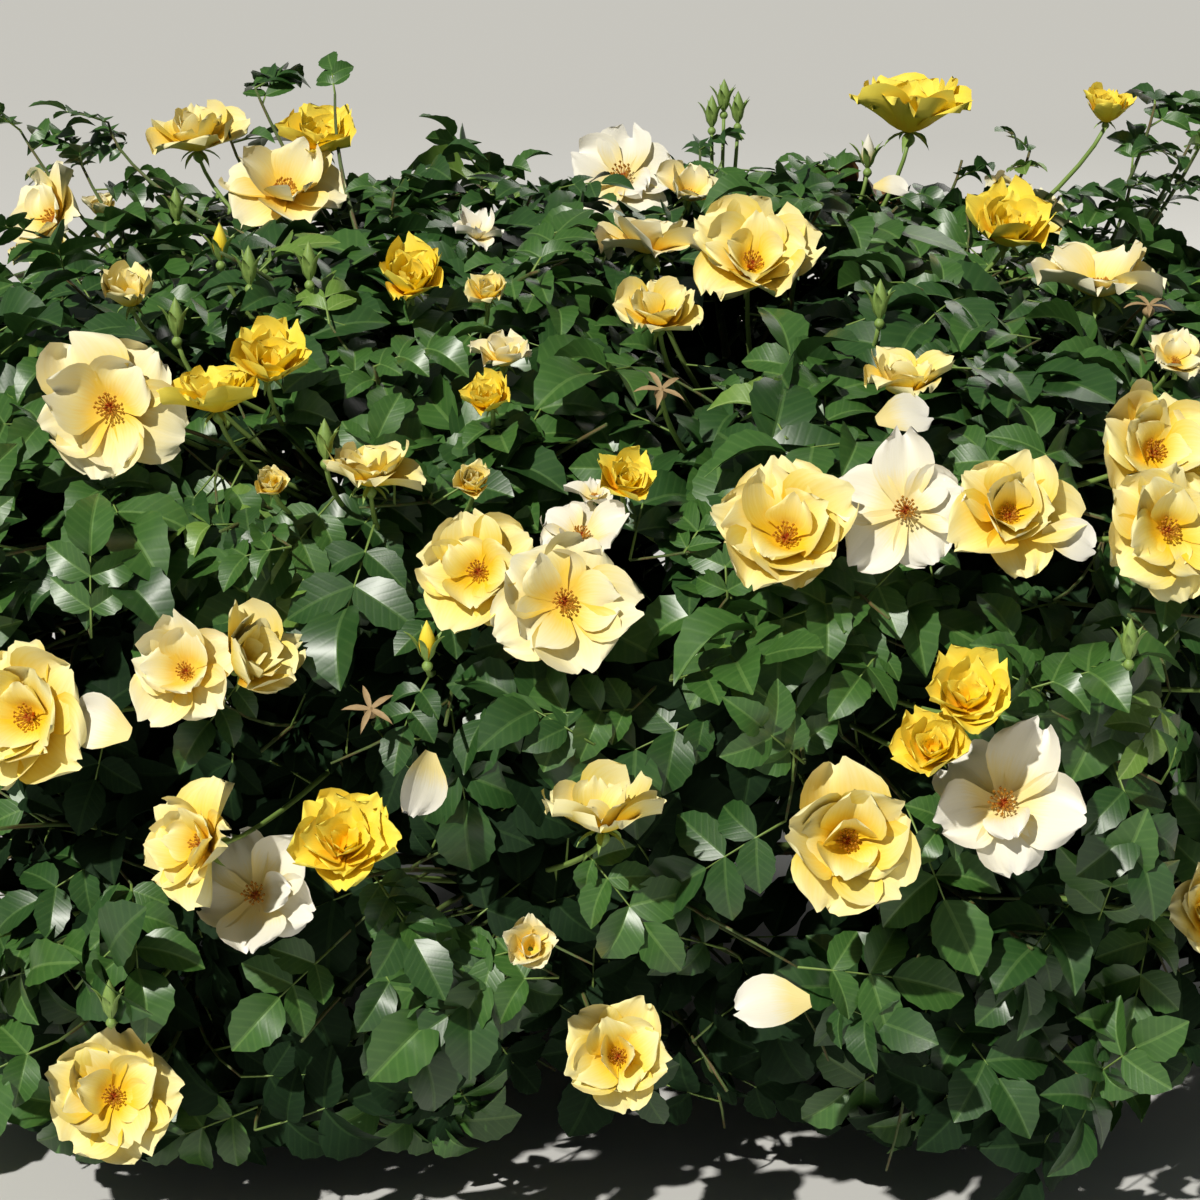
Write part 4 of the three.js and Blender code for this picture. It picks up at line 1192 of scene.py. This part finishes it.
def make_blooms():
    for b in blooms:
        axes = framed(b)
        if "bud" in b["age"]:
            add_bud(b, axes, b["centre"] - b["facing"] * BUD_LENGTH * 0.4)
            continue
        if b["age"] == "petal":
            add_loose_petal(b, axes)
            continue
        origin = b["centre"] - b["facing"] * bloom_depth(b["across"], b["cup"]) * 0.75
        if b["age"] == "spent":
            add_sepals(spent_heap, axes, origin, SPENT_SEPAL, 12)
            add_hip(spent_heap, axes, origin, *SPENT_HIP)
            continue
        add_petals(b, axes, origin)
        if b["cup"] < CLOSED_CUP:
            add_centre(b, axes, origin)
        add_sepals(green_heap, axes, origin, BLOOM_SEPAL * b["across"], -18)
        add_hip(green_heap, axes, origin, 0.15 * b["across"] + 2, 0.05 * b["across"] + 1)
    for age, heap in petal_heaps.items():
        make_piece(f"petals_{age}", heap, petal_kinds[age])
    make_piece("sepals_and_hips", green_heap, sepal_green)
    make_piece("stamens", anther_heap, anther_gold)
    make_piece("stigmas", stigma_heap, stigma_red)
    make_piece("spent_heads", spent_heap, spent_tan)


# The stage: a pale floor, a sun from the upper left and a weak light from behind.
FLOOR_REACH, FLOOR_COLOUR, FLOOR_ROUGHNESS = 30, (0.72, 0.72, 0.7, 1), 0.9
SUN_POWER, SUN_WIDTH, SUN_COLOUR = 3.4, 1.2, (1.0, 0.97, 0.9)
SUN_TURN = (rad(46), 0, rad(-32))
BACK_PLACE, BACK_AIM = np.array([1.6, 3.2, 2.6]), np.array([0, 0, 0.35])
BACK_POWER, BACK_SIZE, BACK_COLOUR = 30, 2.0, (1.0, 0.97, 0.92)
SKY_COLOUR, SKY_STRENGTH = (0.9, 0.94, 1.0, 1), 0.08
SENSOR = 36


def make_stage():
    mesh = bpy.data.meshes.new("floor")
    corners = [(x * FLOOR_REACH, y * FLOOR_REACH, 0) for x, y in ((-1, -1), (1, -1), (1, 1), (-1, 1))]
    mesh.from_pydata(corners, [], [(0, 1, 2, 3)])
    pale = bpy.data.materials.new("floor_pale")
    pale.use_nodes = True
    shader = pale.node_tree.nodes["Principled BSDF"]
    set_inputs(shader, {"Base Color": FLOOR_COLOUR, "Roughness": FLOOR_ROUGHNESS})
    mesh.materials.append(pale)
    add_object("floor", mesh)


def add_light(name, kind, power, colour, place, turn):
    light = bpy.data.lights.new(name, kind)
    light.energy, light.color = power, colour
    lamp = add_object(name, light)
    lamp.location, lamp.rotation_euler = place, turn
    return light


def make_lights():
    sun = add_light("sun", "SUN", SUN_POWER, SUN_COLOUR, (0, 0, 0), SUN_TURN)
    sun.angle = rad(SUN_WIDTH)
    x, y, z = BACK_AIM - BACK_PLACE
    turn = (math.atan2(math.hypot(x, y), -z), 0, math.atan2(y, x) - math.pi / 2)
    back = add_light("back_fill", "AREA", BACK_POWER, BACK_COLOUR, BACK_PLACE, turn)
    back.size = BACK_SIZE
    world = bpy.data.worlds.new("studio")
    world.use_nodes = True
    set_inputs(world.node_tree.nodes["Background"], {"Color": SKY_COLOUR, "Strength": SKY_STRENGTH})
    bpy.context.scene.world = world
    bpy.context.scene.view_settings.view_transform = "Standard"


def make_camera():
    camera = bpy.data.cameras.new("camera")
    camera.sensor_width = SENSOR
    camera.lens = FOCAL / PICTURE * SENSOR
    camera.clip_end = 100
    eye = add_object("camera", camera)
    eye.location = tuple(EYE * MM)
    eye.rotation_euler = (rad(90 - EYE_DROOP), 0, 0)
    bpy.context.scene.camera = eye


make_foot()
make_limbs()
places = spiral_points(SHOOTS, LOWEST_LIFT)
shoots, long = main_twigs(places, crown_insets(len(places)))
inner_places = spiral_points(INNER_SHOOTS, LOWEST_INNER_LIFT)
inner = main_twigs(inner_places, np.full(len(inner_places), INNER_INSET))[0]
sides = side_twigs(shoots)
stalks = stalk_curves()
high = placed_shoots(HIGH_SHOOTS, UP, 0.35, LOWEST_TWIG)
low_shoots = placed_shoots(LOW_SHOOTS, np.array([0, -1, 0.2]), 0.5, LOWEST_SHOOT)
bared_stalks = bared(stalks)
make_twigs(np.concatenate([shoots, inner]), sides, stalks, np.concatenate([high, low_shoots]))
make_leaves((shoots[~long], shoots[long], sides, inner, stalks, high, low_shoots))
make_blooms()
make_stage()
make_lights()
make_camera()

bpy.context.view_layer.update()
